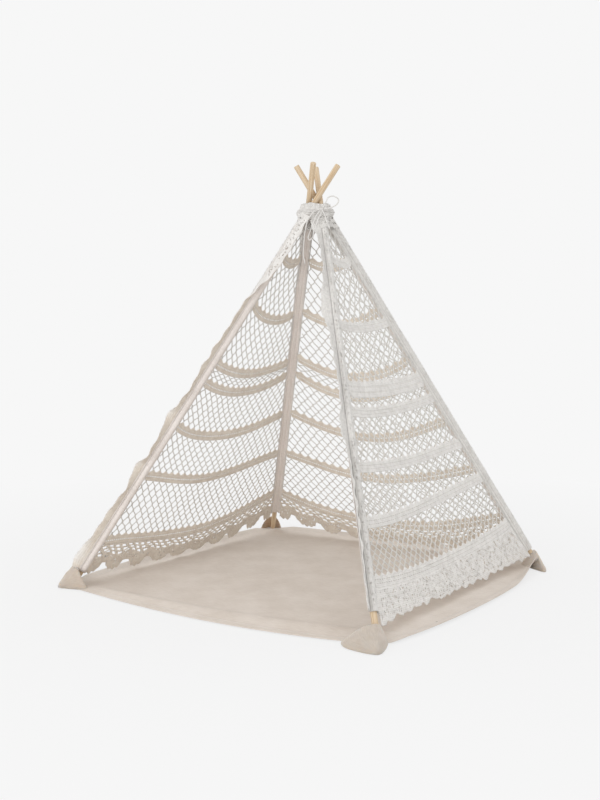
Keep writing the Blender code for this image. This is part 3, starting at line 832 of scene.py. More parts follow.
def makeSleeves():
    size = sleeveSizes
    angles = np.arange(size["sides"]) * 2.0 * math.pi / size["sides"]
    reaches = np.linspace(size["flangeStart"], size["flangeEnd"], size["flangeColumns"])
    for number, pole in enumerate(poles.values()):
        cloth = Cloth()
        bottom = pole.length - size["footBare"][pole.name]
        rows = round((bottom - size["top"]) / size["step"]) + 1
        downs = np.linspace(size["top"], bottom, rows)
        grid = np.zeros((rows, size["sides"], 3))
        for i, down in enumerate(downs):
            loose = ramp(down, *size["loosens"])
            for j, angle in enumerate(angles):
                crease = ripple((angle * 0.02, down, 0.0), 0.035, number)
                fine = ripple((angle * 0.012, down * 0.25, 1.0), 0.006, number)
                radius = size["tightRadius"] + loose * (
                    size["looseRadius"] - size["tightRadius"]
                    + size["wrinkle"] * (crease + 0.6 * fine))
                grid[i, j] = pole.around(down, angle, radius)
        uv = paired(angles * size["mapRadius"], downs[:, None])
        cloth.lay(grid, size["half"], uv, wrap=True, outward=np.array(pole.outward))
        lines = []
        downs = downs[downs > size["flangeTop"]]
        for way in flangeWays(pole):
            normal = way.cross(pole.way)
            if normal.dot(pole.outward) < 0.0:
                normal.negate()
            strip = np.zeros((len(downs), len(reaches), 3))
            for i, down in enumerate(downs):
                for j, reach in enumerate(reaches):
                    wave = size["flangeWave"] * ripple((reach, down, 2.0), 0.02, number)
                    inset = size["flangeInset"] + wave
                    strip[i, j] = pole.pivot - pole.way * down + way * reach - normal * inset
            cloth.lay(strip, size["half"], paired(reaches, downs[:, None]))
            shift = way * (size["flangeEnd"] - size["stitchInset"]) - normal * (
                size["flangeInset"] + size["half"] + size["stitchLift"])
            lines.append([pole.pivot - pole.way * down + shift for down in downs])
        body = cloth.mesh(f"canvas_{pole.name}", [looks["sleeve"]])
        mesh = joined(f"sleeve_canvas_{pole.name}", [body, sewnSeams(lines)])
        item = newObject(mesh.name, mesh)
        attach(item, pole.body)
        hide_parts(f"sleeve_{pole.name}")


makeSleeves()
print("sleeves ready")


# Nets

# Down the poles, as shares, at 0, 1/4, 1/2, 3/4 and all the way across each panel
bandLines = {
    "left": [
        (0.140, 0.165, 0.172, 0.166, 0.145), (0.270, 0.303, 0.321, 0.320, 0.300),
        (0.428, 0.457, 0.467, 0.460, 0.442), (0.477, 0.508, 0.519, 0.508, 0.477),
        (0.588, 0.631, 0.639, 0.624, 0.601), (0.722, 0.749, 0.761, 0.747, 0.732),
        (0.893, 0.909, 0.920, 0.899, 0.868),
    ],
    "back": [
        (0.155, 0.175, 0.182, 0.175, 0.155), (0.294, 0.320, 0.334, 0.320, 0.294),
        (0.424, 0.466, 0.484, 0.466, 0.424), (0.470, 0.520, 0.540, 0.520, 0.470),
        (0.596, 0.638, 0.660, 0.638, 0.596), (0.730, 0.766, 0.785, 0.766, 0.730),
        (0.864, 0.909, 0.926, 0.909, 0.864),
    ],
    "right": [
        (0.150, 0.170, 0.176, 0.170, 0.150), (0.325, 0.337, 0.338, 0.334, 0.323),
        (0.481, 0.491, 0.493, 0.489, 0.478), (0.532, 0.544, 0.545, 0.540, 0.528),
        (0.657, 0.668, 0.669, 0.663, 0.658), (0.773, 0.781, 0.774, 0.763, 0.752),
        (0.890, 0.906, 0.906, 0.898, 0.880),
    ],
}
hemEdges = {                     # notches between the scallops
    "left": (0.958, 0.970, 0.981, 0.963, 0.935),
    "back": (0.932, 0.966, 0.982, 0.966, 0.932),
    "right": (0.976, 0.971, 0.976, 0.976, 0.978),
}
netSizes = {
    "top": 0.066,                # share down the pole where the net starts, under the collar
    "widest": 0.62,              # half a panel is never wider
    "bandHalf": 0.019,
    "cell": 0.036,               # width of one opening, the same all over
    "rowsPerZone": {"left": (5, 7, 8, 3, 7, 7, 9), "back": (5, 7, 8, 3, 7, 7, 9),
                    "right": (5, 7, 8, 2, 7, 7, 9)},
    "wideBand": ("right", 2),    # this band is so much wider than the rest
    "wider": 1.6,
    "pinch": 0.08,               # how far the strands draw together at the knots
    "strandSteps": 7,
    "strandRadius": 0.0016,
    "strandSwell": 0.0006,
    "strandSides": 6,
    "strandLap": 0.002,          # how far the strands run under the solid edge
    "stitchLength": 0.0040,
    "knotRadius": 0.0030,
    "tapeReach": 0.0265,         # solid edge beside the pole, from the pole's middle line
    "tapeColumns": 6,
    "tapeHalves": (0.0006, 0.0011),   # half its thickness along its rims, and between them
    "bandStart": 0.0245,
    "column": 0.0036,            # width of one stitch column in the solid parts
    "tab": 0.011,                # height of the points on a band's upper edge
    # openings in a band: the row of cells, the first column and the step to the next
    "bandHoles": {"left": ((5, 1, 3), (5, 2, 3)), "back": ((5, 1, 3), (5, 2, 3)),
                  "right": ((3, 2, 4), (7, 4, 4))},
    "lowest": 0.993,
    "hemRows": 22,
    "hemHalves": (0.0005, 0.0010, 0.0014),   # half its thickness: rims, furrows, ridges
    "hemCurl": 0.006,            # how far its lower edge stands out
    "shellBumps": 5,
    "shellSway": 0.014,          # how far the shells wander to the side
    "notch": 0.36,               # what is cut off a shell's foot, so that the notches are wide
    "drift": 0.0022,             # how far the hand-made knots lie off their even places
    "driftFull": 0.04,           # from this far off the middle line
    "wave": 0.004,               # how far the cloth waves in and out
    "keep": 0.18,
    "rounds": 6,                 # of the search for a place that lies on a curved line
}
# Each hem: width and depth of a shell, height of its small lobes, where it starts below the middle
# of the last band, as a share of the band's half, and how deep behind it, how unevenly it hangs, and
# its openings
deepHem = {
    "wide": 0.118, "depth": 0.030, "lobe": 0.008, "joins": 0.9, "behind": 0.0022,
    "uneven": 0.0, "frayed": 0.0, "openRows": slice(9, -3), "openings": 0.08,
    "motifs": ((1, 0), (4, 5), (7, 0)),
}
hemSizes = {
    "left": deepHem,
    "back": deepHem,
    "right": {
        "wide": 0.057, "depth": 0.005, "lobe": 0.003, "joins": 0.80, "behind": 0.0002,
        "uneven": 0.011, "frayed": 0.004, "openRows": slice(2, -2), "openings": 0.13, "motifs": (),
    },
}
bandProfile = (                  # from the upper to the lower edge: place, half the thickness
    (-1.00, 0.0005), (-0.86, 0.0013), (-0.64, 0.0012), (-0.42, 0.0015), (-0.22, 0.0012),
    (-0.15, 0.0013), (0.15, 0.0013), (0.22, 0.0012), (0.42, 0.0015), (0.64, 0.0012),
    (0.86, 0.0013), (1.00, 0.0005),
)


def lineThrough(values):
    # A smooth line across a panel through five values
    fit = np.polyfit((0.0, 0.25, 0.5, 0.75, 1.0), values, 4)
    return lambda s: np.polyval(fit, s)


class NetPanel:
    # The cloth between two poles. x runs from its middle, in metres; t is the share down the poles
    def __init__(self, name, seed):
        self.name = name
        self.seed = seed
        self.ends = [poles[end] for end in panelEnds[name]]
        self.tops = [np.array(pole.pivot) for pole in self.ends]
        self.drops = [np.array(pole.foot - pole.pivot) for pole in self.ends]
        self.length = self.ends[0].length
        outward = np.array(self.ends[0].outward + self.ends[1].outward)
        self.outward = outward / np.linalg.norm(outward)

    def span(self, t):
        t = np.asarray(t)[..., None]
        first = self.tops[0] + self.drops[0] * t
        way = self.tops[1] + self.drops[1] * t - first
        return first, way, np.linalg.norm(way, axis=-1)

    def edge(self, t, end, reach):
        # How far from the middle the cloth is, this far from the middle line of a pole
        first, way, width = self.span(t)
        pole = np.array(self.ends[end].way)
        square = np.linalg.norm(way - pole * (way @ pole)[..., None], axis=-1) / width
        return width / 2 - reach / square

    def place(self, x, t, lift=0.0):
        first, way, width = self.span(t)
        share = 0.5 + x / width
        slope = np.array(self.ends[0].way + self.ends[1].way)
        normal = np.cross(way, slope)
        normal /= np.linalg.norm(normal, axis=-1, keepdims=True)
        normal *= np.sign((normal @ self.outward))[..., None]
        belly = frameSizes["netBelly"] * np.sin(np.pi * np.clip(share, 0, 1)) * t
        wave = netSizes["wave"] * np.sin(np.pi * np.clip(share, 0, 1)) * np.sin(
            23.0 * t + self.seed + 2.0 * np.sin(5.0 * x + self.seed))
        return first + way * share[..., None] + normal * (lift - belly + wave)[..., None]

    def across(self, x, t):
        # How far across the panel a place is, from 0 to 1
        return np.clip(0.5 + x / self.span(t)[2], 0.0, 1.0)

    def down(self, x, v, upper, lower):
        # The share down the poles at a place v between two lines
        s = np.full(np.shape(x), 0.5)
        for _ in range(9):
            t = upper(s) + (lower(s) - upper(s)) * v
            s = self.across(x, t)
        return t


def drift(x, v, seed):
    # Small uneven shifts of the knots; none on the middle line, where two halves meet
    size = netSizes["drift"] * np.minimum(1.0, np.abs(x) / netSizes["driftFull"])
    return size * np.sin(61.0 * x + 9.0 * v + seed) * np.cos(17.0 * v - 37.0 * x + 2 * seed)


def zoneStrands(panel, upper, lower, rows, lines, knots):
    size = netSizes
    pitch = size["cell"]
    steps = np.linspace(0.0, 1.0, size["strandSteps"])
    count = int(size["widest"] / pitch)
    columns = np.arange(-count, count + 1) * pitch
    for row in range(rows + 1):
        starts = columns + (row % 2) * pitch / 2
        v = np.full(starts.shape, row / rows)
        t = panel.down(starts, v, upper, lower)
        spots = panel.place(starts + drift(starts, v, panel.seed), t)
        for end, sign in enumerate((-1, 1)):
            inside = np.abs(starts) < panel.edge(t, end, size["tapeReach"])
            knots[end].extend(spots[(sign * starts >= -1e-6) & inside])
        if row == rows:
            break
        for turn in (-1, 1):
            x = starts[:, None] + turn * pitch / 2 * (
                steps - size["pinch"] * np.sin(2 * np.pi * steps))
            v = (row + steps)[None, :] / rows + 0.0 * x
            t = panel.down(x, v, upper, lower)
            middle = x.mean(axis=1)
            spots = panel.place(x + drift(x, v, panel.seed), t)
            for end, sign in enumerate((-1, 1)):
                inside = np.abs(x) < panel.edge(t, end, size["tapeReach"] - size["strandLap"])
                for k in np.nonzero((sign * middle > 0.0) & inside.any(axis=1))[0]:
                    lines[end].append(spots[k][inside[k]])


def bandGrid(panel, end, centre, half, phase, cloth):
    size = netSizes
    sign = (-1, 1)[end]
    wide = float(panel.edge(centre(np.array(0.5)), end, size["bandStart"]))
    count = max(8, 2 * round(wide / size["column"] / 2))
    q = np.linspace(0.0, 1.0, count + 1)
    t = centre(np.full(count + 1, 0.5))
    for _ in range(size["rounds"]):
        x = sign * panel.edge(t, end, size["bandStart"]) * (1.0 - q)
        t = centre(panel.across(x, t))
    x[-1] = 0.0
    tab = (0.5 + 0.5 * np.cos(2 * np.pi * (x / size["cell"] - phase))) ** 1.3
    rows, thick = [], []
    odd = np.arange(count + 1) % 2
    for v, thickness in bandProfile:
        raised = size["tab"] / panel.length * tab * max(0.0, (-v - 0.4) / 0.6)
        rows.append(panel.place(x, t + v * half - raised))
        thick.append(thickness * (1.0 + 0.22 * (odd - 0.5) * (thickness > 0.0007)))
    height = np.array([v for v, _ in bandProfile]) * half * panel.length
    mask = np.ones((len(bandProfile) - 1, count), bool)
    for row, first, step in size["bandHoles"][panel.name]:
        mask[row, first:count - 1:step] = False
    cloth.lay(np.stack(rows), np.stack(thick), paired(x, height[:, None]), mask=mask,
              outward=panel.outward)


def hemGrid(panel, end, upper, lower, cloth):
    size, own = netSizes, hemSizes[panel.name]
    sign = (-1, 1)[end]
    reach = float(panel.edge(np.array(0.95), end, size["bandStart"]))
    count = round(reach / size["column"])
    q = np.linspace(0.0, 1.0, count + 1)
    rows = size["hemRows"]
    rim, furrow, ridge = size["hemHalves"]
    grid, thick, heights = [], [], []
    t = lower(np.full(count + 1, 0.5))
    for r in range(rows + 1):
        v = r / rows
        for _ in range(size["rounds"]):
            x = sign * panel.edge(t, end, size["bandStart"]) * (1.0 - q)
            s = panel.across(x, t)
            uneven, frayed = (
                np.array([ripple((place, 0.0, layer), scale, panel.seed) for place in x])
                for layer, scale in ((3.0, 0.05), (5.0, 0.013)))
            shell = np.abs(np.sin(np.pi * (x + size["shellSway"] * uneven) / own["wide"]))
            shell = np.clip((shell - size["notch"]) / (1 - size["notch"]), 0.0, 1.0) ** 0.50
            room = (size["lowest"] - lower(s)) * panel.length
            low = np.clip(room / (own["depth"] + own["lobe"]), 0.2, 1.0)
            bump = np.abs(np.sin(np.pi * size["shellBumps"] * x / own["wide"])) ** 0.8
            deep = low * (own["depth"] * shell + own["lobe"] * bump * (0.3 + shell))
            deep += own["uneven"] * uneven + own["frayed"] * frayed
            t = upper(s) + (lower(s) + deep / panel.length - upper(s)) * v
        lift = size["hemCurl"] * v * v - own["behind"] * (1 - v)
        grid.append(panel.place(x, t, np.full(x.shape, lift)))
        half = rim if r in (0, rows) else ridge if r % 4 > 1 else furrow
        thick.append(np.full(x.shape, half))
        heights.append((t - upper(s)) * panel.length)
    mask = np.ones((rows, count), bool)
    chance = np.random.default_rng(11 + 2 * int(panel.seed) + end)
    inside = mask[own["openRows"], 2:-2]
    inside[...] = chance.random(inside.shape) > own["openings"]
    for first, shift in own["motifs"]:
        for step in (0, 1):
            for column in range(6):
                mask[first + step, (2 + shift + step + column) % 10:-1:10] = False
    cloth.lay(np.stack(grid), np.stack(thick), paired(x, np.stack(heights)), mask=mask,
              outward=panel.outward)


def tapeGrid(panel, end, bottom, cloth):
    # The solid edge of a net beside its pole
    size = netSizes
    sign = (-1, 1)[end]
    count = round((bottom - size["top"]) * panel.length / size["column"])
    t = np.linspace(size["top"], bottom, count + 1)
    reaches = np.linspace(frameSizes["netEdge"] + 0.001, size["tapeReach"], size["tapeColumns"])
    grid = np.stack([
        panel.place(sign * np.maximum(panel.edge(t, end, reach), 0.0), t) for reach in reaches
    ], axis=1)
    rim, middle = size["tapeHalves"]
    thick = np.full(grid.shape[:2], middle)
    thick[:, [0, -1]] = rim
    thick[1::2] *= 1.2
    mask = np.ones((count, len(reaches) - 1), bool)
    for row in (2, 3):
        mask[row:-4:14, 3] = False
    cloth.lay(grid, thick, paired((t * panel.length)[:, None], reaches), mask=mask,
              outward=panel.outward, look=1)


def makeNets():
    size = netSizes
    for seed, name in enumerate(panelEnds):
        panel = NetPanel(name, 1.7 * seed + 0.4)
        half = size["bandHalf"] / panel.length
        tab = size["tab"] / panel.length
        bands = [lineThrough(values) for values in bandLines[name]]
        hemEdge = lineThrough(hemEdges[name])
        start = lambda s: np.full(np.shape(s), size["top"])
        halves = [half * (size["wider"] if (name, number) == size["wideBand"] else 1.0)
                  for number in range(len(bands))]
        uppers = [start] + [lambda s, b=b, h=h: b(s) + h * 0.97 for b, h in zip(bands, halves)]
        lowers = [lambda s, b=b, h=h: b(s) - h - tab * 0.85 for b, h in zip(bands, halves)]
        lines, knots = ([], []), ([], [])
        for zone, rows in enumerate(size["rowsPerZone"][name]):
            zoneStrands(panel, uppers[zone], lowers[zone], rows, lines, knots)
        for end in (0, 1):
            pole = panel.ends[end]
            cloth = Cloth()
            for band, tall, rows in zip(bands, halves, size["rowsPerZone"][name]):
                bandGrid(panel, end, band, tall, 0.5 * (rows % 2), cloth)
            joins = half * hemSizes[name]["joins"]
            hemGrid(panel, end, lambda s: bands[-1](s) + joins, hemEdge, cloth)
            bottom = 1.0 - frameSizes["hemBare"] / pole.length
            tapeGrid(panel, end, bottom, cloth)
            solid = cloth.mesh("solid", [looks["stitches"], looks["border"]])
            strands = grown("strands", edgeMesh("strands", lines[end], knots[end]), strandMaker, {
                "Strand radius": size["strandRadius"], "Stitch swell": size["strandSwell"],
                "Stitch length": size["stitchLength"], "Sides": size["strandSides"],
                "Knot radius": size["knotRadius"], "Seed": 3 + seed,
                "Material": looks["strands"],
            })
            mesh = joined(f"crochet_net_{name}_by_{pole.name}", [solid, strands])
            item = newObject(mesh.name, mesh)
            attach(item, pole.body)
            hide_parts(f"net_{name}_by_{pole.name}")
            way = acrossPanel(pole, panel.ends[1 - end])
            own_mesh(item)
            print(mesh.name, len(mesh.polygons), "faces")


makeNets()
print("nets ready")


# Corner lace: the crochet goes on round the outside of each pole, with a ridge of small shells

cornerSizes = {
    "top": 0.082,
    "radius": 0.0142,
    "half": 0.0009,
    "row": 0.0036,
    "columnAngle": math.radians(13),
    "flaps": ((0.0215, 0.0016), (0.0180, 0.0026)),   # reach along the net, and height over it
    "hemmed": ((0.0150, 0.0020),),                   # the same towards a doorway's ruffle
    "flapEnd": 0.23,             # where the round part starts, as an angle from the net
    "ridge": 0.0026,
    "ridgePitch": 0.0144,
    "ridgeSpread": math.radians(22),
    "ridgeStarts": 0.05,         # it rises to its full height over this length
    "uneven": 0.0008,
    "seamHoles": 0.12,           # share of the stitches along the seam that stand open
    "openHoles": 0.06,
    "bottomBare": {"front_left": 0.060, "front_right": 0.085, "back_right": 0.060,
                   "back_left": 0.098},
}


def wayAngles(pole):
    return [math.atan2(way.dot(pole.side), way.dot(pole.out)) for way in flangeWays(pole)]


def makeCornerLace():
    size = cornerSizes
    for number, pole in enumerate(poles.values()):
        first, last = wayAngles(pole)
        sign = math.copysign(1.0, last - first)
        turns = round(abs(last - first) / size["columnAngle"]) + 1
        gap = size["flapEnd"] * sign
        angles = list(np.linspace(first + gap, last - gap, turns))
        radii = [size["radius"]] * turns
        for reach, over in size["flaps"][::-1]:
            angles.insert(0, first + math.asin(over / reach) * sign)
            radii.insert(0, reach)
        flaps = size["hemmed" if pole.name in ruffleSizes["turns"] else "flaps"]
        for reach, over in flaps[::-1]:
            angles.append(last - math.asin(over / reach) * sign)
            radii.append(reach)
        columns = len(angles) - 1
        bottom = pole.length - size["bottomBare"][pole.name]
        rows = round((bottom - size["top"]) / size["row"])
        downs = size["top"] + np.arange(rows + 1) * size["row"]
        grid = np.zeros((rows + 1, columns + 1, 3))
        thick = np.zeros((rows + 1, columns + 1))
        for i, down in enumerate(downs):
            shell = abs(math.sin(math.pi * down / size["ridgePitch"])) ** 0.7
            shell *= ramp(down, size["top"], size["ridgeStarts"])
            for j, angle in enumerate(angles):
                raised = size["ridge"] * shell * bell(angle, 0.0, size["ridgeSpread"])
                uneven = size["uneven"] * ripple((angle * 0.03, down, 4.0), 0.03, number)
                uneven *= 1 < j < columns - 1
                grid[i, j] = pole.around(down, angle, radii[j] + raised + uneven)
                thick[i, j] = size["half"] * (0.85 + 0.3 * (i % 2))
        mask = np.ones((rows, columns), bool)
        chance = np.random.default_rng(31 + number)
        nearest = min(range(columns), key=lambda j: abs(angles[j]))
        mask[3:-3, nearest] = chance.random(rows - 6) > size["seamHoles"]
        mask[3:-3, 3:-3] &= chance.random((rows - 6, columns - 6)) > size["openHoles"]
        uv = paired(downs[:, None], np.array(angles) * size["radius"])
        cloth = Cloth()
        cloth.lay(grid, thick, uv, mask=mask, outward=np.array(pole.out))
        item = newObject(f"corner_lace_{pole.name}",
                         cloth.mesh(f"corner_lace_{pole.name}", [looks["border"]]))
        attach(item, pole.body)


# Ruffles along the two edges of the doorway

ruffleSizes = {
    "start": 0.0138,
    "end": 0.0470,
    "columns": 12,
    "picot": 0.0022,
    "picotPitch": 0.0144,
    "plain": 0.14,               # share of the width, beside the pole, that doesn't turn
    "halves": (0.0010, 0.0014, 0.0006),   # half the thickness: furrows, ridges, outer edge
    "keep": 0.35,
    "looks": {"front_left": "stitches", "front_right": "border"},
    # share of the stitches that stand open, and how far down the pole
    "openings": {"front_left": (0.16, 0.34), "front_right": (0.035, math.inf)},
    # turn towards the doorway, in degrees, at these shares down the pole
    "turns": {
        "front_left": (
            (0.07, 48), (0.15, 54), (0.20, 48), (0.25, 20), (0.28, 6), (0.31, 3), (0.37, 6), (0.40, -3),
            (0.42, 5), (0.45, -6), (0.49, 9), (0.54, 4), (0.58, -24), (0.61, 0), (0.65, 3),
            (0.68, 10), (0.71, -26), (0.74, 0), (0.77, 6), (0.80, -8), (0.88, -12),
            (0.92, -30), (0.94, -42), (0.97, -10), (1.0, -8)),
        "front_right": (
            (0.07, 34), (0.10, 14), (0.13, -6), (0.20, -12), (0.25, 4), (0.28, 22), (0.315, 24),
            (0.335, 6), (0.355, -2), (0.41, -7), (0.46, -15), (0.52, -13), (0.58, 4),
            (0.62, -14), (0.66, -22), (0.76, -26), (0.84, -24), (0.90, -20), (1.0, -16)),
    },
}


def makeRuffles():
    size = ruffleSizes
    for name, turns in size["turns"].items():
        pole = poles[name]
        away = wayAngles(pole)[1]
        doorway = Vector((-footSigns[name][0], 0.0, 0.0))
        door = math.atan2(doorway.dot(pole.side), doorway.dot(pole.out))
        sign = math.copysign(1.0, door - away)
        bottom = pole.length - cornerSizes["bottomBare"][name]
        rows = round((bottom - cornerSizes["top"]) / cornerSizes["row"])
        downs = cornerSizes["top"] + np.arange(rows + 1) * cornerSizes["row"]
        shares, degrees = zip(*turns)
        fine = np.linspace(shares[0], shares[-1], 200)
        window = np.hanning(9) / np.hanning(9).sum()
        smooth = np.interp(fine, shares, degrees)
        smooth = np.convolve(np.pad(smooth, 4, "edge"), window, "valid")
        grid = np.zeros((rows + 1, size["columns"] + 1, 3))
        reaches = np.zeros((rows + 1, size["columns"] + 1))
        for i, down in enumerate(downs):
            turn = math.radians(float(np.interp(down / pole.length, fine, smooth)))
            turn += 0.05 * math.sin(down * 95.0) + 0.05 * ripple((down, 0.0, 0.0), 0.04, 5)
            picot = size["picot"] * abs(math.sin(math.pi * down / size["picotPitch"]))
            wide = size["end"] - size["start"] + picot
            wide *= 1.0 + 0.05 * ripple((down, 1.0, 0.0), 0.11, 6)
            for j in range(size["columns"] + 1):
                share = j / size["columns"]
                reach = size["start"] + wide * share
                free = max(0.0, (share - size["plain"]) / (1 - size["plain"]))
                angle = away + sign * turn * free ** 0.8
                grid[i, j] = pole.around(down, angle, reach)
                reaches[i, j] = reach
        furrow, ridge, edge = size["halves"]
        thick = np.full(grid.shape[:2], furrow)
        thick[:, 1::2] = ridge
        thick[:, -1] = edge
        thick[1::2] *= 1.15
        mask = np.ones((rows, size["columns"]), bool)
        chance = np.random.default_rng(41)
        openings, deepest = size["openings"][name]
        openings = openings * (downs[3:-4, None] < deepest)
        mask[3:-3, 2:-2] = chance.random((rows - 6, size["columns"] - 4)) > openings
        uv = paired(downs[:, None], reaches)
        cloth = Cloth()
        cloth.lay(grid, thick, uv, mask=mask)
        look = looks[size["looks"][name]]
        item = newObject(f"door_ruffle_{name}", cloth.mesh(f"door_ruffle_{name}", [look]))
        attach(item, pole.body)
        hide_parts(f"door_trim_{name}")
        way = flangeWays(pole)[1]
        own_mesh(item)


makeCornerLace()
print("corner lace ready")
makeRuffles()
print("ruffles ready")


# Collar: the cover's gathered upper edge, with the cord wound round it

collarSizes = {
    "topDrop": 0.030,            # height below the crossing, as in the part's own source
    "topRadius": 0.0491,
    "widening": 0.514,           # radius gained for each metre down
    "first": 0.026,
    "last": 0.102,
    "frontLonger": 0.012,        # it hangs further down over the doorway
    "edgeWaves": (0.006, 0.012), # how unevenly its upper and lower edges run
    "points": 0.004,             # depth of the small points along its lower edge
    "pressed": (0.051, 0.017),   # drop and spread of the cord's turns, which press it flat
    "hangs": (0.056, 0.026),     # from this drop on, and after so much more it lies on the tent
    "pressedPleat": 0.0008,
    "freePleat": (0.0019, 0.0008),   # its depth, and how much less at the lower edge
    "flare": (0.0015, 0.042, 0.016),   # of the upper edge: how far, from what drop, over what height
    "lump": 0.0018,
    "bulge": 0.005,              # the cloth bunches up on one side, at this bearing
    "bulgeBearing": math.radians(213.0),
    "bulgeDrop": (0.068, 0.013),
    "tuck": 0.003,               # and is drawn in below the bulge
    "tuckDrop": (0.092, 0.008),
    "inside": 0.0002,            # how far inside the cone of the part's own source it lies
    "overTent": 0.002,
    "clearPole": 0.0175,         # from a pole's middle line to the lace
    "clearCloth": 0.0065,        # and from the nets
    "pleats": 21,
    "columnsPerPleat": 12,
    "rows": 34,
    "firstOpenRow": 19,
    "half": 0.0009,
    "cordDrop": 0.044,
    "cordPitch": 0.0045,
    "cordTurns": 3,
    "cordSteps": 96,             # for each turn
    "cordSpacing": 0.0020,
    "cordOut": 0.0036,
    "cordBearing": math.radians(-42.0),
    "knotSteps": 140,
    "knotSpan": 0.00195,
    "knotDepth": 0.0022,
}


def tentReach(drop, bearings):
    # How far the poles and the cloth between them reach from the middle, level with the drop
    centres = [pole.pivot - pole.way * (drop / pole.way.z) for pole in poles.values()]
    middle = sum(centres, Vector()) / 4.0
    spots = [((c - middle).x, (c - middle).y) for c in centres]
    spots = np.array(sorted(spots, key=lambda spot: math.atan2(spot[1], spot[0])))
    ways = np.stack((np.cos(bearings), np.sin(bearings)), axis=-1)
    low, high = np.full(len(ways), 0.005), np.full(len(ways), 0.3)
    for _ in range(22):
        reach = (low + high) / 2
        point = ways * reach[:, None]
        nearest = np.full(len(ways), np.inf)
        toPole = np.full(len(ways), np.inf)
        within = np.ones(len(ways), bool)
        for k in range(4):
            a, b = spots[k], spots[(k + 1) % 4]
            side = b - a
            share = np.clip(((point - a) @ side) / (side @ side), 0.0, 1.0)
            nearest = np.minimum(nearest, np.linalg.norm(point - a - share[:, None] * side, axis=1))
            toPole = np.minimum(toPole, np.linalg.norm(point - a, axis=1))
            within &= side[0] * (point - a)[:, 1] - side[1] * (point - a)[:, 0] > 0.0
        inside = within | (nearest < collarSizes["clearCloth"]) | (toPole < collarSizes["clearPole"])
        low, high = np.where(inside, reach, low), np.where(inside, high, reach)
    return low


def ringPoint(drop, bearing, out):
    # A point round the poles, level with the drop, this far outside the cone that they fill
    middle = Vector()
    for pole in poles.values():
        middle += (pole.pivot - pole.way * (drop / pole.way.z)) / 4.0
    radius = collarSizes["topRadius"] + collarSizes["widening"] * (drop - collarSizes["topDrop"])
    return middle + Vector((math.cos(bearing), math.sin(bearing), 0.0)) * (radius + out)


def makeCollar():
    size = collarSizes
    columns = size["pleats"] * size["columnsPerPleat"]
    shares = np.linspace(0.0, 1.0, size["rows"] + 1)
    grid = np.zeros((len(shares), columns, 3))
    uv = np.zeros((len(shares), columns, 2))
    dropSteps = np.linspace(0.05, 0.17, 13)
    bearings = 2.0 * math.pi * np.arange(columns) / columns
    reachSteps = np.stack([tentReach(drop, bearings) for drop in dropSteps])
    for i, share in enumerate(shares):
        for j, bearing in enumerate(bearings):
            spot = (0.05 * math.cos(bearing), 0.05 * math.sin(bearing), 0.0)
            front = max(0.0, -math.sin(bearing)) ** 2
            last = size["last"] + size["frontLonger"] * front
            drop = size["first"] + (last - size["first"]) * share
            drop += (1 - share) ** 3 * size["edgeWaves"][0] * ripple(spot, 0.025, 3)
            drop += share ** 3 * size["edgeWaves"][1] * ripple(spot, 0.03, 4)
            drop += share ** 3 * size["points"] * abs(math.sin(size["pleats"] / 2 * bearing))
            tight = bell(drop, *size["pressed"])
            depth, lessBelow = size["freePleat"]
            depth = size["pressedPleat"] * tight + (1 - tight) * (depth - lessBelow * share)
            phase = size["pleats"] * bearing + 1.3 * ripple(spot, 0.04, 5)
            flare, flareDrop, flareTall = size["flare"]
            bunched = size["bulge"] * bell(drop, *size["bulgeDrop"])
            bunched *= max(0.0, math.cos(bearing - size["bulgeBearing"]))
            out = depth * math.sin(phase + 9.0 * drop) + bunched - size["inside"]
            out += flare * max(0.0, (flareDrop - drop) / flareTall) ** 1.5
            out += size["lump"] * (1 - tight) * ripple((spot[0], spot[1], drop), 0.022, 6)
            out -= size["tuck"] * bell(drop, *size["tuckDrop"]) * (bunched > 0.0)
            cone = size["topRadius"] + size["widening"] * (drop - size["topDrop"])
            reach = float(np.interp(drop, dropSteps, reachSteps[:, j]))
            out += ease(ramp(drop, *size["hangs"])) * (reach - cone + size["overTent"])
            grid[i, j] = ringPoint(drop, bearing, out)
            uv[i, j] = (bearing * 0.08, drop)
    mask = np.ones((size["rows"], columns), bool)
    for row in range(size["firstOpenRow"], size["rows"] - 3, 4):
        for column in range(2):
            mask[row:row + 2, (row // 4 % 2 * 3 + column)::6] = False
    thick = np.full((size["rows"] + 1, columns), size["half"])
    thick[::2] *= 1.3
    cloth = Cloth()
    cloth.lay(grid, thick, uv, mask=mask, wrap=True)
    item = newObject("gathered_collar", cloth.mesh("gathered_collar", [looks["border"]]))
    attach(item, "crossing")
    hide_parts("lace_collar")


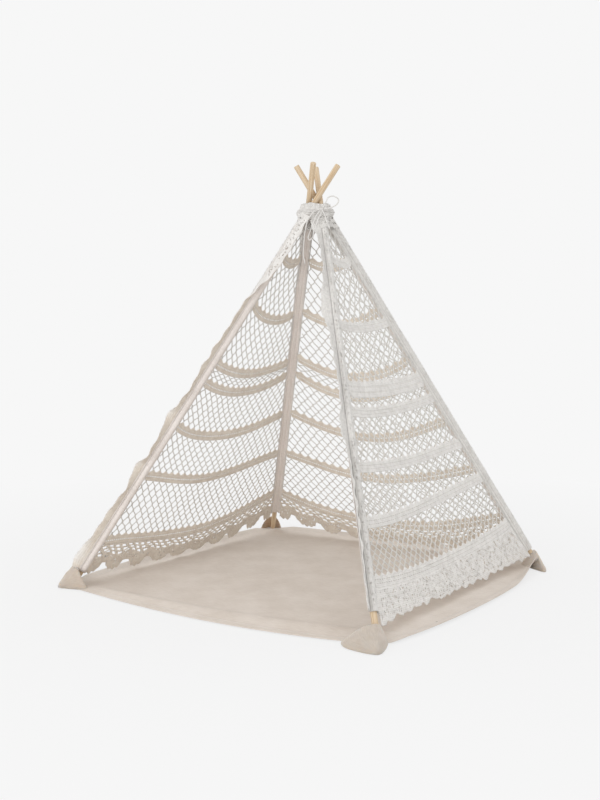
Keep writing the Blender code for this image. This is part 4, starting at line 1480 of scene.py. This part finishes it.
def makeDrawcord():
    size = collarSizes
    route = []
    for k in range(size["cordTurns"] * size["cordSteps"] + 1):
        turns = k / size["cordSteps"]
        route.append(ringPoint(size["cordDrop"] + size["cordPitch"] * turns,
                               size["cordBearing"] + 2.0 * math.pi * turns, size["cordOut"]))
    line, _ = smoothRoute(route, size["cordSpacing"])
    item = newObject("drawcord_wound",
                     tubeAlong("drawcord_wound", line, plyRadius, bowSizes["sides"], looks["cord"]))
    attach(item, "crossing")
    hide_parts("drawcord_turns")
    knot = Vector(bowSizes["knotMiddle"])
    out = Vector((math.cos(size["cordBearing"]), math.sin(size["cordBearing"]), 0.25)).normalized()
    side = up.cross(out).normalized()
    rise = out.cross(side)
    route = []
    for turn in np.linspace(0.0, 2.0 * math.pi, size["knotSteps"]):
        x = (math.sin(turn) + 2.0 * math.sin(2.0 * turn)) * size["knotSpan"]
        y = (math.cos(turn) - 2.0 * math.cos(2.0 * turn)) * size["knotSpan"]
        z = -math.sin(3.0 * turn) * size["knotDepth"]
        route.append(knot + side * x + rise * y + out * z)
    item = newObject("bow_knot_tied",
                     tubeAlong("bow_knot_tied", route, plyRadius, bowSizes["sides"], looks["cord"]))
    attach(item, "crossing")
    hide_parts("bow_knot")


makeCollar()
makeDrawcord()
print("collar ready")


# Mat

matSizes = {
    "corner": 0.612,             # half the side at the corners
    "bulge": {"front": 0.078, "right": 0.074, "back": 0.044, "left": 0.044},
    "thickness": 0.0016,
    "lift": 0.0006,              # middle of the cloth, over its own thickness
    "seamLift": 0.6,             # as a share of the thickness
    "seamSteps": 301,
    "cells": 170,
    "crease": 0.0022,
    "hem": 0.022,
    "hemRise": 0.0012,
    "rim": {"front": 0.0, "right": 0.006, "back": 0.016, "left": 0.016},
    "rimReach": {"front": 0.04, "right": 0.04, "back": 0.070, "left": 0.070},
    "roll": 0.011,               # height of the front hem, rolled under
    "rollAway": (0.075, 0.040),  # its crest from the edge, and how much more of that at the right
    "rollFades": 0.045,          # behind the crest
    "pulledUp": 0.044,           # the right edge where the cover draws it up to its far corner
    "pulledFrom": (0.35, 0.5),   # how far back that starts, and its length, as shares
    "fold": {"height": 0.020, "back": 0.088, "wide": 0.034},   # before the far pocket
}


def matPoint(a, b):
    # A place on the mat: a runs left to right and b front to back, from -1 to 1
    size = matSizes
    sides = size["bulge"]
    alongX = (1 - b * b) ** (0.5 if a > 0 and b < 0 else 0.9)
    outX = size["corner"] + alongX * (sides["right"] if a > 0 else sides["left"])
    outY = size["corner"] + (1 - a * a) * (sides["back"] if b > 0 else sides["front"] * (1 + 0.2 * a))
    x, y = a * outX, b * outY
    height = size["thickness"] + size["lift"]
    inside = (1 - abs(a) ** 8) * (1 - abs(b) ** 8)
    crease = ripple((x * 0.7, y * 1.3, 0.0), 0.16, 1) + 0.5 * ripple((x, y, 1.0), 0.05, 2)
    height += size["crease"] * inside * max(0.0, crease)
    for edge, far, side in ((1 - abs(a), 1 - abs(b), "right" if a > 0 else "left"),
                            (1 - abs(b), 1 - abs(a), "back" if b > 0 else "front")):
        away = edge * size["corner"]
        if away < size["hem"]:
            height += size["hemRise"]
        rim = size["rim"][side]
        if side == "right":
            rim += size["pulledUp"] * ease(ramp(b, *size["pulledFrom"]))
        if rim and away < size["rimReach"][side]:
            share = 1 - away / size["rimReach"][side]
            height += rim * share ** 1.5 * min(1.0, far * 6.0)
        if side == "front":
            crest = size["rollAway"][0] + size["rollAway"][1] * a
            behind = max(0.0, 1 - (away - crest) / size["rollFades"])
            share = away / crest if away < crest else behind
            height += size["roll"] * ease(share) * (1 - abs(a) ** 6)
    fold = size["fold"]
    spot = poles["back_left"].outward * (math.sqrt(2.0) * frameSizes["footHalf"] - fold["back"])
    away = math.hypot(x - spot.x, y - spot.y)
    height += fold["height"] * bell(away, 0.0, fold["wide"])
    return Vector((x, y, height))


def makeMat():
    size = matSizes
    stations = np.linspace(-1.0, 1.0, size["cells"] + 1)
    grid = np.array([[matPoint(a, b) for a in stations] for b in stations])
    cloth = Cloth()
    cloth.lay(grid, size["thickness"] / 2, grid[..., :2].copy(), outward=np.array(up))
    inset = 1 - size["hem"] / size["corner"]
    along = np.linspace(-1.0, 1.0, size["seamSteps"])
    lift = up * size["thickness"] * size["seamLift"]
    lines = [[matPoint(a, edge) + lift for a in along] for edge in (-inset, inset)]
    lines += [[matPoint(edge, b) + lift for b in along] for edge in (-inset, inset)]
    body = cloth.mesh("mat_canvas", [looks["canvas"]])
    item = newObject("mat_canvas", joined("mat_canvas", [body, sewnSeams(lines)]))
    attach(item, "mat")
    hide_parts("mat_panel", "mat_rim_front", "mat_rim_right", "mat_rim_back", "mat_rim_left")


makeMat()
print("mat ready")


# Corner pockets

pocketSizes = {
    "wall": 0.0008, "tipHalf": 0.010, "tipHeight": 0.009,
    "sections": 44, "closing": 5, "arch": 48, "bulge": 0.12, "crease": 0.0026,
    "footLift": 0.0034,          # height of its lower edges over the floor
    "map": (0.16, 0.20),
    "underDrop": 0.0013,         # its floor lies this far below its lower edges
    "underColumns": 9,
    "seamSection": 2, "seamLift": 0.0003,
    # Each one lies a little differently. The turn is in degrees from straight out of the corner, the
    # tip is drawn aside by so much, and a fuller side keeps its width for longer
    "front_left": {"half": (0.069, 0.069), "height": 0.076, "back": 0.046, "lean": 0.012,
                   "tipOut": 0.050, "turn": 6, "aside": 0.0, "full": 1.0, "peak": 0.45},
    "front_right": {"half": (0.097, 0.032), "height": 0.050, "back": 0.026, "lean": 0.014,
                    "tipOut": 0.109, "turn": -6, "aside": -0.018, "full": 2.0, "peak": 1.1},
    "back_right": {"half": (0.050, 0.016), "height": 0.052, "back": 0.036, "lean": 0.010,
                   "tipOut": 0.100, "turn": -60, "aside": -0.080, "full": 0.9, "peak": 0.9},
    "back_left": {"half": (0.034, 0.056), "height": 0.058, "back": 0.022, "lean": 0.006,
                  "tipOut": 0.044, "turn": 0, "aside": 0.0, "full": 1.0, "peak": 0.45},
}


def makePockets():
    size = pocketSizes
    for number, pole in enumerate(poles.values()):
        own = size[pole.name]
        turn = math.radians(own["turn"])
        out = Vector((pole.outward.x * math.cos(turn) - pole.outward.y * math.sin(turn),
                      pole.outward.x * math.sin(turn) + pole.outward.y * math.cos(turn), 0.0))
        side = Vector((-out.y, out.x, 0.0))
        foot = Vector((pole.foot.x, pole.foot.y, size["footLift"]))
        grid = np.zeros((size["sections"] + 1, size["arch"] + 1, 3))
        for i in range(size["sections"] + 1):
            share = i / size["sections"]
            bulge = 1 + size["bulge"] * math.sin(math.pi * share)
            ending = max(0.0, (i - size["sections"]) / size["closing"] + 1)
            bulge *= math.sqrt(1.0001 - ending * ending * 0.99)
            spent = share ** own["full"]
            halves = [(half + (size["tipHalf"] - half) * spent) * bulge for half in own["half"]]
            tall = (own["height"] + (size["tipHeight"] - own["height"]) * share) * bulge
            low = (own["tipOut"] + own["back"]) * share - own["back"]
            peak = (own["tipOut"] + own["lean"]) * share - own["lean"]
            for j in range(size["arch"] + 1):
                angle = math.pi * j / size["arch"]
                rise = math.sin(angle)
                sharp = rise ** (1 + own["peak"] * (1 - share))
                point = foot + out * (low + (peak - low) * rise) + side * own["aside"] * share
                point -= side * halves[angle > math.pi / 2] * math.cos(angle)
                point += up * (tall * sharp)
                dent = size["crease"] * rise * (
                    ripple(point, 0.035, number) + 0.5 * ripple(point, 0.014, number + 9))
                grid[i, j] = point + (out * 0.4 + up) * dent
        uv = paired(np.linspace(0, size["map"][0], size["sections"] + 1)[:, None],
                    np.linspace(0, size["map"][1], size["arch"] + 1))
        cloth = Cloth()
        cloth.lay(grid, size["wall"], uv, outward=np.array(up))
        under = np.linspace(grid[:, 0], grid[:, -1], size["underColumns"], axis=1)
        under -= np.array(up) * size["underDrop"]
        cloth.lay(under, size["wall"] * 0.9, uv[:, :size["underColumns"]], outward=np.array(up))
        body = cloth.mesh("pocket", [looks["pocket"]])
        lift = up * (size["wall"] + size["seamLift"])
        line = [Vector(p) + lift for p in grid[size["seamSection"]]]
        mesh = joined(f"pocket_canvas_{pole.name}", [body, sewnSeams([line])])
        item = newObject(mesh.name, mesh)
        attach(item, "mat")
        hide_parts(f"corner_pocket_{pole.name}")


makePockets()
print("pockets ready")


# Floor, lights and world

stageSizes = {
    "background": "f7f7f7",
    "floor": "e6e6e6",
    "floorHalf": 60.0,
    "floorHeight": -0.0005,
    "floorRoughness": 0.9,
    "worldLight": 0.97,
    "shadowShare": 0.22,
    "shadowFades": (1.0, 2.6),   # distances from the middle between which the shadow ends
}


def makeStage():
    size = stageSizes
    mesh = bpy.data.meshes.new("paper_floor")
    half = size["floorHalf"]
    corners = ((-half, -half), (half, -half), (half, half), (-half, half))
    mesh.from_pydata([(*corner, size["floorHeight"]) for corner in corners], [], [(0, 1, 2, 3)])
    made, tree, shader = newMaterial("Paper floor, matt", {"roughness": size["floorRoughness"]})
    shader.inputs["Base Color"].default_value = linear(size["floor"])
    rays = add(tree, "ShaderNodeLightPath")
    glow = add(tree, "ShaderNodeEmission", {"Color": linear(size["background"])})
    place = add(tree, "ShaderNodeTexCoord").outputs["Object"]
    distance = add(tree, "ShaderNodeVectorMath", {"operation": "LENGTH"}, {0: place})
    plain = add(tree, "ShaderNodeMapRange",
                {"From Min": size["shadowFades"][0], "From Max": size["shadowFades"][1],
                 "To Min": 1 - size["shadowShare"], "To Max": 1.0},
                {"Value": distance.outputs["Value"]})
    share = add(tree, "ShaderNodeMath", {"operation": "MULTIPLY"},
                {0: rays.outputs["Is Camera Ray"], 1: plain})
    mixed = add(tree, "ShaderNodeMixShader", {}, {0: share, 1: shader, 2: glow})
    link(tree, mixed, tree.nodes["Material Output"].inputs["Surface"])
    mesh.materials.append(made)
    item = newObject("paper_floor", mesh)
    world = bpy.data.worlds.new("studio")
    bpy.context.scene.world = world
    world.use_nodes = True
    tree = world.node_tree
    back = tree.nodes["Background"]
    back.inputs["Color"].default_value = (1.0, 1.0, 1.0, 1.0)
    back.inputs["Strength"].default_value = size["worldLight"]
    rays = add(tree, "ShaderNodeLightPath")
    seen = add(tree, "ShaderNodeBackground", {"Color": linear(size["background"]), "Strength": 1.0})
    first = add(tree, "ShaderNodeMath", {"operation": "MAXIMUM"},
                {0: rays.outputs["Is Camera Ray"], 1: rays.outputs["Is Glossy Ray"]})
    both = add(tree, "ShaderNodeMath", {"operation": "MAXIMUM"},
               {0: first, 1: rays.outputs["Is Transmission Ray"]})
    mixed = add(tree, "ShaderNodeMixShader", {}, {0: both, 1: back, 2: seen})
    link(tree, mixed, tree.nodes["World Output"].inputs["Surface"])


lampAim = (0.0, 0.0, 0.5)
lamps = {
    "key": {"place": (3.5, -2.2, 3.4), "size": 2.5, "power": 12.0},
    "doorway": {"place": (0.4, -7.9, 1.7), "size": 4.4, "power": 165.0},   # lights the inside
}


def makeLamps():
    for name, lamp in lamps.items():
        data = bpy.data.lights.new(name, "AREA")
        data.size = lamp["size"]
        data.energy = lamp["power"]
        item = newObject(name, data)
        item.location = lamp["place"]
        aim = Vector(lampAim) - Vector(lamp["place"])
        item.rotation_euler = aim.to_track_quat("-Z", "Y").to_euler()


makeStage()
makeLamps()
bpy.context.scene.view_settings.view_transform = "Standard"
print("stage ready")
